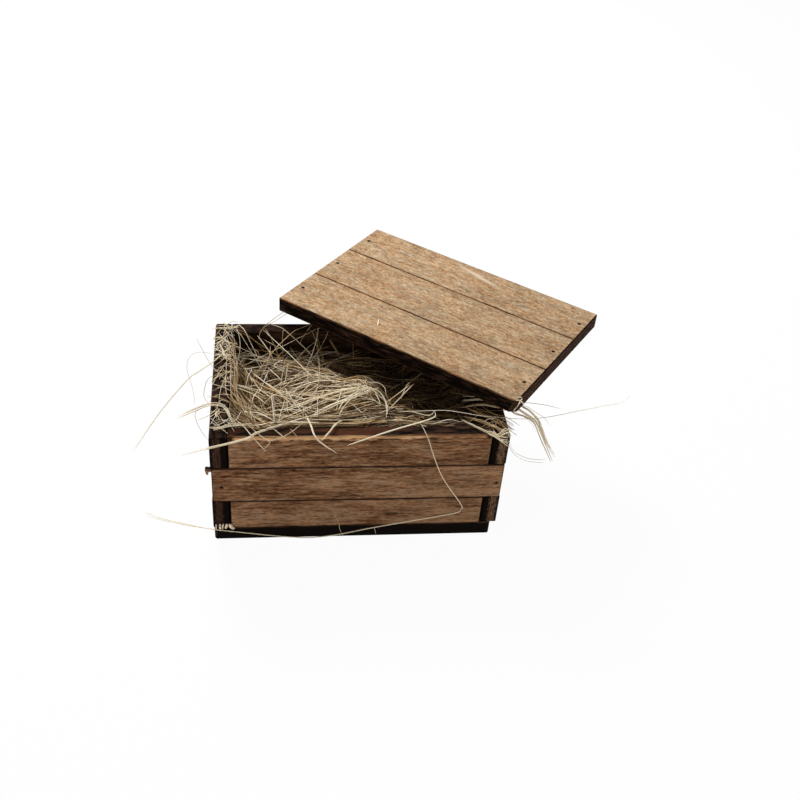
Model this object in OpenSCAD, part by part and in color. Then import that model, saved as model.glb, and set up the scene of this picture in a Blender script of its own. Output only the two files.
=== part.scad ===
// A small wooden crate packed with straw, with its lid laid askew on top.
// Each wall is three courses of board, and the courses lap each other in turn at the corners:
// the side boards run through at the top and bottom, the front and back boards in the middle.
// The origin is under the middle of the crate, where it stands, with the front facing -Y.

/* [Crate] */
// Outside width of the crate
crate_w = 108; // [96:1:120]
// Outside depth of the crate
crate_d = 71; // [66:1:80]
// Thickness of the wall boards
wall_t = 6.2; // [5.4:0.1:7]
// Thickness of the base boards
base_t = 6; // [5:0.1:7]
// Height of the lowest course of wall boards
bottom_h = 13.8; // [12:0.1:16]
// Height of the middle course of wall boards
middle_h = 16.4; // [14:0.1:19]
// Height of the top course of wall boards
top_h = 14.2; // [12:0.1:17]
// How far the base stops short of the wall on the left
base_short_left = 0.3; // [0.1:0.1:1]
// How far the base stops short of the wall on the right
base_short_right = 2; // [0.5:0.1:2.5]
// Radius of the worn upright corners of the base
base_corner_r = 1.8; // [0.8:0.1:2.4]

/* [Lid] */
// Thickness of the lid boards
lid_t = 6.3; // [5.4:0.1:7.4]
// Width of the front lid board
lid_front_board = 23.9; // [20:0.1:26]
// Width of the back lid board
lid_back_board = 22.3; // [19:0.1:25]
// Thickness of the two battens under the lid
batten_t = 3.8; // [3:0.1:5]
// Width of the two battens under the lid
batten_w = 7; // [5:0.1:9]
// Play of the battens inside the walls when the crate is closed
batten_play = 0.9; // [0.5:0.1:2]
// How far the lid's middle lies to the right of the crate's middle
lid_right = 35.5; // [33:0.5:38]
// How far the lid's middle lies behind the crate's middle
lid_back = 32.7; // [31:0.1:34]
// How far the lid is turned on the crate, in degrees
lid_turn = 38.3; // [36:0.1:40]
// Size of the chip broken from the lid's right front corner
lid_chip = 2.2; // [1:0.1:3]

/* [Board edges] */
// Gap at the end of a board that fits between two others
joint_gap = 0.3; // [0.1:0.05:0.6]
// How far the ends of the lapping boards stop short of the crate's faces
end_short = 0.3; // [0.1:0.05:0.8]
// Wear along every board edge
arris = 0.35; // [0.2:0.05:0.6]
// Wear along the outer top edge of the front wall
front_wear = 1.2; // [0.7:0.1:1.8]
// Wear along the outer top edge of the other walls
rim_wear = 0.7; // [0.4:0.1:1.2]
// Length of the torn splinter at the left end of the front middle board
splinter_l = 2; // [1:0.1:3]

/* [Nails] */
// Diameter of the nail shanks
nail_d = 0.9; // [0.7:0.05:1]
// Diameter of the nail heads
nail_head_d = 1.2; // [1.1:0.05:1.5]
// Thickness of the nail heads
nail_head_t = 0.4; // [0.3:0.05:0.6]
// How far the nail heads are sunk under the surface
nail_sunk = 0.25; // [0.1:0.05:0.4]
// Length of the nails in the walls and base
nail_l = 12; // [10:0.5:14]
// Length of the nails in the lid
lid_nail_l = 5.4; // [4:0.1:6]
// How far the front nails stand to the right of the middle of the side walls
nail_drift = 0.7; // [0:0.1:1]
// How far the front nails stand below the middle of their board
nail_drop = 0.8; // [0:0.1:2]

/* [Straw] */
// How far the straw lies below the rim at the back
straw_dip = 13; // [10:0.5:18]
// How far the straw lies below the rim along the front
straw_front_dip = 0.6; // [0.3:0.1:4]
// Share of the crate's depth that the front heap of straw takes
straw_front_share = 0.46; // [0.35:0.01:0.5]
// Share of the crate's width that the heap under the lid takes
straw_lid_share = 0.38; // [0.3:0.01:0.45]
// Thickness of a loose straw
straw_d = 0.7; // [0.5:0.05:0.9]

/* [Fits and travel] */
// Gap between loose pieces that lie on each other
rest_gap = 0.3; // [0.2:0.05:0.4]
// Gap round a nail in its hole
nail_fit = 0.02; // [0.01:0.01:0.04]

/* [Hidden] */
$fn = 48;
nail_tip_r = 0.05;

// Heights
bottom_z = base_t;
middle_z = bottom_z + bottom_h;
top_z = middle_z + middle_h;
rim_z = top_z + top_h;
lid_z = rim_z + rest_gap + batten_t;

// Faces of the walls
left_x = -crate_w / 2;
right_x = crate_w / 2;
front_y = -crate_d / 2;
back_y = crate_d / 2;
inner_w = crate_w - 2 * wall_t;
inner_d = crate_d - 2 * wall_t;

// Boards
between_w = inner_w - 2 * joint_gap;
between_d = inner_d - 2 * joint_gap;
across_w = crate_w - 2 * end_short;
across_d = crate_d - 2 * end_short;
base_board = crate_d / 3;
lid_middle_board = crate_d - lid_front_board - lid_back_board;
batten_l = inner_d - batten_play;
batten_x = inner_w / 2 - batten_play / 2 - batten_w / 2;

// Nails, measured to the middle of the wall that they hold
wall_nail_x = crate_w / 2 - wall_t / 2;
wall_nail_y = crate_d / 2 - wall_t / 2;
base_nail_x = crate_w / 2 - max(wall_t / 2, base_short_right + nail_head_d);
batten_nail_l = batten_t + lid_t / 2;

// Straw
bed_top_z = rim_z - straw_dip;
straw_w = inner_w - 2 * rest_gap;
straw_d_in = inner_d - 2 * rest_gap;
front_heap_d = straw_d_in * straw_front_share;
lid_heap_w = straw_w * straw_lid_share;

// Wood

// Outline w by h with its corners worn off by a, and the upper left one by worn
module worn_outline(w, h, a, worn) {
    polygon([
        [a, 0], [w - a, 0], [w, a], [w, h - a],
        [w - a, h], [worn, h], [0, h - worn], [0, a]
    ]);
}

// A board along X, centred on it, with its outer face at Y = 0 and standing on Z = 0
module board(length, thick, height, worn = arris) {
    intersection() {
        translate([-length / 2, thick, 0])
            rotate([90, 0, 0])
                linear_extrude(thick) worn_outline(length, height, arris, arris);
        translate([-length / 2, 0, 0])
            rotate([90, 0, 90])
                linear_extrude(length) worn_outline(thick, height, arris, worn);
        translate([-length / 2, 0, 0])
            linear_extrude(height) worn_outline(length, thick, arris, arris);
    }
}

// Puts a wall drawn with its outer face at Y = 0 in its place
module at_front() { translate([0, front_y, 0]) children(); }
module at_back() { rotate([0, 0, 180]) at_front() children(); }
module at_right() { rotate([0, 0, 90]) translate([0, left_x, 0]) children(); }
module at_left() { rotate([0, 0, 180]) at_right() children(); }

// Nails

// A nail driven along +Y through the face at Y = 0, and with cut the hole for it
module nail(length, cut = false) {
    fit = cut ? nail_fit : 0;
    point_l = nail_d;
    shank_l = length - nail_head_t - point_l;
    translate([0, nail_sunk, 0])
        rotate([-90, 0, 0])
            rotate_extrude()
                polygon([
                    [0, cut ? -nail_sunk - 1 : 0],
                    [nail_head_d / 2 + fit, cut ? -nail_sunk - 1 : 0],
                    [nail_head_d / 2 + fit, nail_head_t],
                    [nail_d / 2 + fit, nail_head_t],
                    [nail_d / 2 + fit, nail_head_t + shank_l],
                    [nail_tip_r + fit, length],
                    [0, length]
                ]);
}

// The two nails of a front or back wall, through the ends of the middle board
module lap_nails(drift, drop, cut = false) {
    for (side = [-1, 1])
        translate([side * wall_nail_x + drift, 0, middle_z + middle_h / 2 - drop])
            nail(nail_l, cut);
}

// The four nails of a side wall, through the ends of its top and bottom boards
module corner_nails(cut = false) {
    for (side = [-1, 1], z = [bottom_z + bottom_h / 2, top_z + top_h / 2])
        translate([side * wall_nail_y, 0, z])
            nail(nail_l, cut);
}

// Nails driven up through the base boards into the side walls
module up_nails(cut = false) {
    for (side = [-1, 1], row = [-1, 0, 1])
        translate([side * base_nail_x, row * base_board, 0])
            rotate([90, 0, 0])
                nail(nail_l, cut);
}

// Nails in the lid's ends, which held it to the side walls
module lid_end_nails(cut = false) {
    for (side = [-1, 1], y = lid_board_middles())
        translate([side * wall_nail_x, y, lid_t])
            rotate([-90, 0, 0])
                nail(lid_nail_l, cut);
}

// Nails driven up through the battens into the lid boards
module under_lid_nails(cut = false) {
    for (side = [-1, 1], y = lid_board_middles())
        translate([side * batten_x, y * 0.9, -batten_t])
            rotate([90, 0, 0])
                nail(batten_nail_l, cut);
}

function lid_board_middles() = [
    front_y + lid_front_board / 2,
    front_y + lid_front_board + lid_middle_board / 2,
    back_y - lid_back_board / 2
];

// Walls

module front_top() {
    color("#6b4a34")
        difference() {
            at_front() translate([0, 0, top_z]) board(between_w, wall_t, top_h, front_wear);
            at_left() corner_nails(true);
            at_right() corner_nails(true);
        }
}

// The torn splinter is one piece with the board that it hangs from
module front_middle() {
    color("#70503a")
        union() {
            difference() {
                at_front() translate([0, 0, middle_z]) board(across_w, wall_t, middle_h);
                at_front() lap_nails(nail_drift, nail_drop, true);
            }
            translate([left_x + end_short, front_y + arris, top_z])
                rotate([-90, 0, 0])
                    linear_extrude(1.4)
                        polygon([
                            [0.3, 0.5], [-splinter_l, 0.2], [-splinter_l - 0.2, 1],
                            [-splinter_l + 0.2, 2.9], [-splinter_l + 0.9, 3.1],
                            [-splinter_l + 0.9, 1.9], [0.3, 1.5]
                        ]);
        }
}

module front_bottom() {
    color("#6b4a34")
        difference() {
            at_front() translate([0, 0, bottom_z]) board(between_w, wall_t, bottom_h);
            at_left() corner_nails(true);
            at_right() corner_nails(true);
        }
}

module back_top() {
    color("#644530")
        difference() {
            at_back() translate([0, 0, top_z]) board(between_w, wall_t, top_h, rim_wear);
            at_left() corner_nails(true);
            at_right() corner_nails(true);
        }
}

module back_middle() {
    color("#6b4a34")
        difference() {
            at_back() translate([0, 0, middle_z]) board(across_w, wall_t, middle_h);
            at_back() lap_nails(0, 0, true);
        }
}

module back_bottom() {
    color("#644530")
        difference() {
            at_back() translate([0, 0, bottom_z]) board(between_w, wall_t, bottom_h);
            at_left() corner_nails(true);
            at_right() corner_nails(true);
        }
}

module side_top() {
    difference() {
        translate([0, 0, top_z]) board(across_d, wall_t, top_h, rim_wear);
        corner_nails(true);
    }
}

module side_middle() {
    translate([0, 0, middle_z]) board(between_d, wall_t, middle_h);
}

module side_bottom() {
    difference() {
        translate([0, 0, bottom_z]) board(across_d, wall_t, bottom_h);
        corner_nails(true);
    }
}

module left_top() {
    color("#5a3d2a") at_left() side_top();
}

module left_middle() {
    color("#624330")
        difference() {
            at_left() side_middle();
            at_front() lap_nails(nail_drift, nail_drop, true);
            at_back() lap_nails(0, 0, true);
        }
}

module left_bottom() {
    color("#5a3d2a")
        difference() {
            at_left() side_bottom();
            up_nails(true);
        }
}

module right_top() {
    color("#5a3d2a") at_right() side_top();
}

module right_middle() {
    color("#624330")
        difference() {
            at_right() side_middle();
            at_front() lap_nails(nail_drift, nail_drop, true);
            at_back() lap_nails(0, 0, true);
        }
}

module right_bottom() {
    color("#5a3d2a")
        difference() {
            at_right() side_bottom();
            up_nails(true);
        }
}

// Base

// Plan of the whole base, with worn corners
module base_outline() {
    x0 = left_x + base_short_left;
    x1 = right_x - base_short_right;
    r = base_corner_r;
    union() {
        translate([x0 + r, front_y]) square([x1 - x0 - 2 * r, crate_d]);
        translate([x0, front_y + r]) square([x1 - x0, crate_d - 2 * r]);
        for (x = [x0 + r, x1 - r], y = [front_y + r, back_y - r])
            translate([x, y]) circle(r);
    }
}

// Base board number row, counted from the front
module base_strip(row) {
    difference() {
        intersection() {
            linear_extrude(base_t) base_outline();
            translate([0, front_y + row * base_board, 0])
                board(crate_w, base_board, base_t);
        }
        up_nails(true);
    }
}

module base_front_board() { color("#1d1410") base_strip(0); }
module base_middle_board() { color("#33231a") base_strip(1); }
module base_back_board() { color("#33231a") base_strip(2); }

// Lid

// Puts what is drawn on the lid's underside where the lid lies
module at_lid() {
    translate([lid_right, lid_back, lid_z]) rotate([0, 0, -lid_turn]) children();
}

module lid_board(y, width) {
    difference() {
        translate([0, y, 0]) board(crate_w, width, lid_t);
        lid_end_nails(true);
        under_lid_nails(true);
    }
}

// The chip is a slanting break through the corner, deeper below than above
module lid_front() {
    color("#a07a55")
        at_lid()
            difference() {
                lid_board(front_y, lid_front_board);
                translate([right_x, front_y, lid_t / 2])
                    rotate([0, 0, -50])
                        rotate([0, 10, 0])
                            translate([-lid_chip * 0.6, -lid_t, -lid_t])
                                cube(2 * lid_t);
            }
}

module lid_middle() {
    color("#a07a55") at_lid() lid_board(front_y + lid_front_board, lid_middle_board);
}

module lid_back_edge() {
    color("#a07a55") at_lid() lid_board(back_y - lid_back_board, lid_back_board);
}

module batten(side) {
    at_lid()
        difference() {
            translate([side * batten_x + batten_w / 2, 0, -batten_t])
                rotate([0, 0, 90]) board(batten_l, batten_w, batten_t);
            under_lid_nails(true);
        }
}

module lid_batten_left() { color("#5a3d2a") batten(-1); }
module lid_batten_right() { color("#5a3d2a") batten(1); }

// Nail groups

module front_nails() { color("#2b2523") at_front() lap_nails(nail_drift, nail_drop); }
module back_nails() { color("#2b2523") at_back() lap_nails(0, 0); }
module left_nails() { color("#2b2523") at_left() corner_nails(); }
module right_nails() { color("#2b2523") at_right() corner_nails(); }
module base_nails() { color("#2b2523") up_nails(); }
module lid_nails() { color("#2b2523") at_lid() lid_end_nails(); }
module batten_nails() { color("#2b2523") at_lid() under_lid_nails(); }

// Straw

// A heap of straw over the block between low and high, whose top falls to skirt_z at its edges
module heap(low, high, skirt_z, steps = [14, 10]) {
    size = high - low;
    rise = high[2] - skirt_z;
    swell = function(t) 1 - pow(abs(2 * t - 1), 4);
    points = [
        for (j = [0 : steps[1]], i = [0 : steps[0]])
            let (u = i / steps[0], v = j / steps[1])
                [low[0] + u * size[0], low[1] + v * size[1], skirt_z + rise * swell(u) * swell(v)],
        for (k = rim_walk(steps))
            [low[0] + k[0] / steps[0] * size[0], low[1] + k[1] / steps[1] * size[1], low[2]],
        [low[0] + size[0] / 2, low[1] + size[1] / 2, low[2]]
    ];
    row = steps[0] + 1;
    walk = rim_walk(steps);
    rim = [for (k = walk) k[1] * row + k[0]];
    foot = row * (steps[1] + 1);
    n = len(walk);
    faces = [
        for (j = [0 : steps[1] - 1], i = [0 : steps[0] - 1])
            let (a = j * row + i, b = a + 1, c = a + row, d = c + 1)
                each [[a, c, d], [a, d, b]],
        for (k = [0 : n - 1])
            let (m = (k + 1) % n)
                each [[rim[k], rim[m], foot + m], [rim[k], foot + m, foot + k], [foot + k, foot + m, foot + n]]
    ];
    polyhedron(points, faces);
}

// Grid steps round the edge of a heap, counter-clockwise from its low corner
function rim_walk(steps) = [
    for (i = [0 : steps[0] - 1]) [i, 0],
    for (j = [0 : steps[1] - 1]) [steps[0], j],
    for (i = [0 : steps[0] - 1]) [steps[0] - i, steps[1]],
    for (j = [0 : steps[1] - 1]) [0, steps[1] - j]
];

module straw_bed() {
    color("#8d7a55")
        heap([-straw_w / 2, -straw_d_in / 2, base_t + rest_gap],
             [straw_w / 2, straw_d_in / 2, bed_top_z], bed_top_z - 2);
}

module straw_front_heap() {
    color("#b09c72")
        heap([-straw_w / 2, -straw_d_in / 2, bed_top_z + rest_gap],
             [straw_w / 2, -straw_d_in / 2 + front_heap_d, rim_z - straw_front_dip],
             rim_z - straw_front_dip - 5);
}

module straw_lid_heap() {
    color("#8d7a55")
        heap([straw_w / 2 - lid_heap_w, -straw_d_in / 2 + front_heap_d + rest_gap, bed_top_z + rest_gap],
             [straw_w / 2, straw_d_in / 2, lid_z - rest_gap],
             rim_z - 4);
}

// Straw caught between the lid and the back rim
module straw_on_back_rim() {
    color("#8d7a55")
        heap([right_x - 34, back_y - wall_t, rim_z + rest_gap],
             [right_x - 6, back_y + 2, lid_z - rest_gap],
             rim_z + 1, [10, 6]);
}

// Straw spilling over the right rim by the lid's corner
module straw_on_right_rim() {
    color("#c9b68a")
        heap([right_x - wall_t - 1, front_y + 2, rim_z + rest_gap],
             [right_x + 1.5, front_y + 14, rim_z + 3],
             rim_z + 0.8, [6, 8]);
}

// Loose straws

// Point at t from 0 to 1 between b and c on a smooth curve through a, b, c and d
function curve_point(a, b, c, d, t) =
    0.5 * (2 * b + (c - a) * t + (2 * a - 5 * b + 4 * c - d) * t * t
        + (3 * b - a - 3 * c + d) * t * t * t);

function curve(p, steps) = [
    for (i = [0 : len(p) - 2], s = [0 : steps - 1])
        curve_point(p[max(i - 1, 0)], p[i], p[i + 1], p[min(i + 2, len(p) - 1)], s / steps),
    p[len(p) - 1]
];

function unit(v) = v / norm(v);

// One straw swept along a smooth curve through its points, four-sided and thinner at its ends
module straw(points, steps = 4) {
    path = curve(points, steps);
    n = len(path);
    rings = [
        for (i = [0 : n - 1])
            let (
                along = unit(path[min(i + 1, n - 1)] - path[max(i - 1, 0)]),
                side = unit(cross(along, [0, 1, 0])),
                up = cross(side, along),
                r = straw_d / 2 * (i == 0 || i == n - 1 ? 0.6 : 1)
            )
                each [for (q = [0 : 3]) path[i] + r * (cos(q * 90) * side + sin(q * 90) * up)]
    ];
    faces = [
        [0, 1, 2, 3],
        for (i = [0 : n - 2], q = [0 : 3])
            let (a = 4 * i + q, b = 4 * i + (q + 1) % 4)
                each [[a, a + 4, b + 4], [a, b + 4, b]],
        [for (q = [3 : -1 : 0]) 4 * (n - 1) + q]
    ];
    polyhedron(rings, faces);
}

over_rim_z = rim_z + rest_gap + straw_d / 2;
on_floor_z = straw_d / 2 + 0.1;

left_straws = [
    [[left_x + 10, 15, rim_z - 1], [left_x + 6, 13, over_rim_z], [left_x - 0.5, 10, over_rim_z + 0.1],
     [left_x - 10, 5, rim_z - 5], [left_x - 20, 0, rim_z - 17], [left_x - 32, -5, rim_z - 32]],
    [[left_x + 10, 11, rim_z - 1], [left_x + 6, 9.5, over_rim_z], [left_x - 0.5, 7, over_rim_z + 0.2],
     [left_x - 9, 2, rim_z - 3], [left_x - 18, -3, rim_z - 14], [left_x - 29, -8, rim_z - 29]],
    [[left_x + 9, -21, rim_z - 1], [left_x + 5.5, -20, over_rim_z], [left_x - 1, -19, over_rim_z],
     [left_x - 12, -19, rim_z - 4]],
    [[left_x + 38, front_y + 12, rim_z + 1], [left_x + 18, front_y + 2.2, over_rim_z + 0.4],
     [left_x + 12.5, front_y - 1, over_rim_z - 0.2], [left_x - 9, front_y - 3.5, rim_z - 4]]
];

front_straws = [
    [[21, front_y + 9, over_rim_z], [22, front_y + 2.5, over_rim_z + 0.3],
     [22.8, front_y - 1.2, rim_z - 0.6], [25, front_y - 2, rim_z - 5],
     [31, front_y - 2.5, rim_z - 18], [39, front_y - 3.5, base_t + 13], [37, front_y - 4, base_t + 10],
     [6, front_y - 3.5, base_t + 5], [-10, front_y - 3, base_t], [-19, front_y - 1.5, 1.5],
     [-36, front_y - 1, on_floor_z], [-54, front_y - 1, on_floor_z], [-80, front_y + 7, on_floor_z]]
];

right_straws = [
    [[right_x + 2, front_y + 15, rim_z + 2], [right_x + 7, front_y + 12, rim_z + 2.4],
     [right_x + 12, front_y + 10, rim_z - 4], [right_x + 20, front_y + 9, rim_z - 22]],
    [[right_x + 1, front_y + 12, rim_z + 2], [right_x + 6, front_y + 10.5, rim_z + 1.2],
     [right_x + 10, front_y + 8.5, rim_z - 3], [right_x + 18, front_y + 8, rim_z - 20]],
    [[15, front_y + 12, rim_z + 1.5], [36, front_y + 6, rim_z + 3.6], [52, front_y + 5, rim_z + 3.6],
     [72, front_y + 10, rim_z + 1], [92, front_y + 17, rim_z - 1], [106, front_y + 23, rim_z + 1]]
];

module loose_straws_left() {
    color("#d8c79c") for (points = left_straws) straw(points);
}

module loose_straws_front() {
    color("#d8c79c") for (points = front_straws) straw(points, 3);
}

module loose_straws_right() {
    color("#d8c79c") for (points = right_straws) straw(points);
}

front_top();
front_middle();
front_bottom();
back_top();
back_middle();
back_bottom();
left_top();
left_middle();
left_bottom();
right_top();
right_middle();
right_bottom();
base_front_board();
base_middle_board();
base_back_board();
lid_front();
lid_middle();
lid_back_edge();
lid_batten_left();
lid_batten_right();
front_nails();
back_nails();
left_nails();
right_nails();
base_nails();
lid_nails();
batten_nails();
straw_bed();
straw_front_heap();
straw_lid_heap();
straw_on_back_rim();
straw_on_right_rim();
loose_straws_left();
loose_straws_front();
loose_straws_right();
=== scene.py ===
"""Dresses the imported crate: charred, laser-cut boards, pin nails, the dry grass packed in it, and its stage."""

import math

import bpy
import numpy as np
from mathutils import Matrix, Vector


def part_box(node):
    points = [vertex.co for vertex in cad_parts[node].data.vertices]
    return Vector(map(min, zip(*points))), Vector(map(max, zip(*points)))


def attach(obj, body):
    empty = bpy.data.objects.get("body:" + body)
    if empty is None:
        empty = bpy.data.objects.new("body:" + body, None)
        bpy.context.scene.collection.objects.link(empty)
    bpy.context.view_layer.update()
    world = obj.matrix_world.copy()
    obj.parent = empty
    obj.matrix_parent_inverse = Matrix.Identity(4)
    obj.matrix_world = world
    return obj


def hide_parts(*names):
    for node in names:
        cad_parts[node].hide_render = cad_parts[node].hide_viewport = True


bl_info = {
    "name": "Wooden crate with straw",
    "version": (1, 0, 0),
    "blender": (4, 5, 0),
    "location": "View3D > Sidebar > Crate",
    "description": "Finishes the boards and nails of a small crate and packs it with dry grass",
    "category": "Object",
}

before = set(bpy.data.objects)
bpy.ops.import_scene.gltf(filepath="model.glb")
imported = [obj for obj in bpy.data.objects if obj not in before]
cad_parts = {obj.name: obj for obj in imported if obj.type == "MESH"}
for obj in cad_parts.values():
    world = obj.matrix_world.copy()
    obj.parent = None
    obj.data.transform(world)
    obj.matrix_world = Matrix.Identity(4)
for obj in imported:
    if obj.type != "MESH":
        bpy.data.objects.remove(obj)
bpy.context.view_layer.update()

MM = 0.001

# Places in the crate, in millimetres, read from the frame
LEFT_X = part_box("left_top")[0].x / MM
RIGHT_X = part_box("right_top")[1].x / MM
FRONT_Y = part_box("front_top")[0].y / MM
BACK_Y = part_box("back_top")[1].y / MM
INNER_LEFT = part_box("left_top")[1].x / MM
INNER_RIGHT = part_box("right_top")[0].x / MM
INNER_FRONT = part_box("front_top")[1].y / MM
INNER_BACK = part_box("back_top")[0].y / MM
RIM_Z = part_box("left_top")[1].z / MM
BASE_TOP_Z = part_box("base_middle_board")[1].z / MM
LID_UNDER_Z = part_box("lid_middle")[0].z / MM

# How the lid lies on the crate: the place of its middle and its turn
LID_PLACE = (35.5, 32.7)
LID_TURN = math.radians(38.3)
LID_SIZE = (108.0, 71.0)


def hex_colour(text):
    """The linear colour of an sRGB hex value."""
    channels = [int(text[i:i + 2], 16) / 255 for i in (0, 2, 4)]
    return tuple(c / 12.92 if c <= 0.04045 else ((c + 0.055) / 1.055) ** 2.4 for c in channels)


# ---- Settings ----

class CrateWood(bpy.types.PropertyGroup):
    """Colours of the boards and nails"""
    wall_dark: bpy.props.FloatVectorProperty(
        name="Wall, dark grain", description="Darkest streaks of the wall boards",
        subtype="COLOR", size=3, min=0, max=1, default=hex_colour("3A2113"))
    wall_mid: bpy.props.FloatVectorProperty(
        name="Wall wood", description="Stained wood of the wall boards",
        subtype="COLOR", size=3, min=0, max=1, default=hex_colour("805B3F"))
    wall_light: bpy.props.FloatVectorProperty(
        name="Wall, light grain", description="Palest streaks of the wall boards",
        subtype="COLOR", size=3, min=0, max=1, default=hex_colour("AD8969"))
    lid_dark: bpy.props.FloatVectorProperty(
        name="Lid, dark flecks", description="Flecks and pores of the lid boards",
        subtype="COLOR", size=3, min=0, max=1, default=hex_colour("806045"))
    lid_mid: bpy.props.FloatVectorProperty(
        name="Lid wood", description="Bare wood of the lid boards",
        subtype="COLOR", size=3, min=0, max=1, default=hex_colour("BA9B78"))
    lid_light: bpy.props.FloatVectorProperty(
        name="Lid, light grain", description="Palest streaks of the lid boards",
        subtype="COLOR", size=3, min=0, max=1, default=hex_colour("E2CBAA"))
    char: bpy.props.FloatVectorProperty(
        name="Char", description="Cut edges, burnt black",
        subtype="COLOR", size=3, min=0, max=1, default=hex_colour("0A0604"))
    scorched: bpy.props.FloatVectorProperty(
        name="Scorched wood", description="Cut edges where the char has rubbed off",
        subtype="COLOR", size=3, min=0, max=1, default=hex_colour("483125"))
    worn: bpy.props.FloatVectorProperty(
        name="Worn edge", description="Bare wood along the worn top edge",
        subtype="COLOR", size=3, min=0, max=1, default=hex_colour("F8C38E"))
    singed: bpy.props.FloatVectorProperty(
        name="Singed rim", description="Red-brown wood beside the worn edge",
        subtype="COLOR", size=3, min=0, max=1, default=hex_colour("52301F"))
    worn_dark: bpy.props.FloatVectorProperty(
        name="Worn edge, dark", description="Where stain is left on the worn edge",
        subtype="COLOR", size=3, min=0, max=1, default=hex_colour("A0714C"))
    warm_cast: bpy.props.FloatVectorProperty(
        name="Warm patches", description="Cast of the redder patches of the stain",
        subtype="COLOR", size=3, min=0, max=1, default=hex_colour("FFF4EA"))
    cool_cast: bpy.props.FloatVectorProperty(
        name="Cool patches", description="Cast of the greyer patches of the stain",
        subtype="COLOR", size=3, min=0, max=1, default=hex_colour("EFF3F6"))
    end_bare: bpy.props.FloatVectorProperty(
        name="Bare ends", description="Board ends where the char has rubbed right off",
        subtype="COLOR", size=3, min=0, max=1, default=hex_colour("80624A"))
    torn: bpy.props.FloatVectorProperty(
        name="Torn wood", description="Raw fibres at the chipped corner of the lid",
        subtype="COLOR", size=3, min=0, max=1, default=hex_colour("F3E0C4"))
    steel: bpy.props.FloatVectorProperty(
        name="Pin nails", description="Blackened steel of the pin nails",
        subtype="COLOR", size=3, min=0, max=1, default=hex_colour("17120F"))


class CrateStraw(bpy.types.PropertyGroup):
    """Sizes and colours of the dry grass"""
    width: bpy.props.FloatProperty(
        name="Blade width", description="Width of a dry blade of grass",
        default=0.45 * MM, min=0.2 * MM, max=1 * MM, subtype="DISTANCE", unit="LENGTH")
    length: bpy.props.FloatProperty(
        name="Blade length", description="Usual length of a cut blade",
        default=32 * MM, min=10 * MM, max=80 * MM, subtype="DISTANCE", unit="LENGTH")
    fullness: bpy.props.FloatProperty(
        name="Fullness", description="How closely the grass is packed",
        default=1.0, min=0.2, max=2, subtype="FACTOR")
    # Painted shade: the colour of blades deep in the crate and under the lid, darkened for the shade they lie in
    dusty: bpy.props.FloatVectorProperty(
        name="Dusty grass", description="Blades deep in the crate and under the lid",
        subtype="COLOR", size=3, min=0, max=1, default=hex_colour("1A120B"))
    shade: bpy.props.FloatVectorProperty(
        name="Old grass", description="The brownest blades",
        subtype="COLOR", size=3, min=0, max=1, default=hex_colour("56391D"))
    body: bpy.props.FloatVectorProperty(
        name="Dry grass", description="Most of the blades",
        subtype="COLOR", size=3, min=0, max=1, default=hex_colour("B28F5A"))
    bleached: bpy.props.FloatVectorProperty(
        name="Bleached grass", description="The palest blades",
        subtype="COLOR", size=3, min=0, max=1, default=hex_colour("F5E3C2"))


class CrateStage(bpy.types.PropertyGroup):
    """Light and camera"""
    lamp: bpy.props.FloatProperty(
        name="Softbox", description="Power of the softbox above the crate",
        default=7.6, min=0, max=40, subtype="POWER", unit="POWER")
    fill: bpy.props.FloatProperty(
        name="Right reflector", description="Power of the light thrown back on to the front from the right",
        default=1.5, min=0, max=40, subtype="POWER", unit="POWER")
    left_fill: bpy.props.FloatProperty(
        name="Left reflector", description="Power of the light thrown back from the left",
        default=1.1, min=0, max=40, subtype="POWER", unit="POWER")
    sky: bpy.props.FloatProperty(
        name="Room light", description="Level of the light from all round",
        default=0.17, min=0, max=1)
    lens: bpy.props.FloatProperty(
        name="Lens", description="Focal length of the camera",
        default=46.935, min=20, max=200, subtype="DISTANCE_CAMERA", unit="CAMERA")


# ---- Shader nodes ----

def add_node(tree, kind, inputs=None, out=0, **settings):
    """Adds a node with its settings. inputs gives each socket a value or the output that feeds it.
    Returns the output named by out."""
    made = tree.nodes.new("ShaderNode" + kind)
    for key, value in settings.items():
        setattr(made, key, value)
    for key, value in (inputs or {}).items():
        if isinstance(value, bpy.types.NodeSocket):
            tree.links.new(value, made.inputs[key])
        else:
            made.inputs[key].default_value = value
    return made.outputs[out] if len(made.outputs) else made


def ramp(tree, fac, stops):
    """A colour ramp with the given (position, linear colour) stops."""
    out = add_node(tree, "ValToRGB", {"Fac": fac})
    band = out.node.color_ramp
    while len(band.elements) < len(stops):
        band.elements.new(0.5)
    for element, (position, colour) in zip(band.elements, stops):
        element.position = position
        element.color = (*colour, 1)
    return out


def stretched_noise(tree, place, per_mm, seed, detail=2.0, roughness=0.6, distortion=0.0):
    """Noise over board coordinates in mm, with per_mm features to the millimetre along, across and through."""
    moved = add_node(tree, "Mapping", {
        "Vector": place, "Scale": per_mm, "Location": (seed * 7.31, seed * 3.17, seed * 5.03)})
    return add_node(tree, "TexNoise", {
        "Vector": moved, "Scale": 1.0, "Detail": detail, "Roughness": roughness, "Distortion": distortion},
        out="Fac")


def new_material(name, **shader):
    """A material with its Principled shader, whose constant sockets are set here."""
    material = bpy.data.materials.new(name)
    material.use_nodes = True
    tree = material.node_tree
    tree.nodes.clear()
    surface = tree.nodes.new("ShaderNodeBsdfPrincipled")
    for socket, value in shader.items():
        surface.inputs[socket.replace("_", " ")].default_value = value
    out = tree.nodes.new("ShaderNodeOutputMaterial")
    tree.links.new(surface.outputs[0], out.inputs["Surface"])
    return material, tree, surface


# ---- Boards ----

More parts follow.
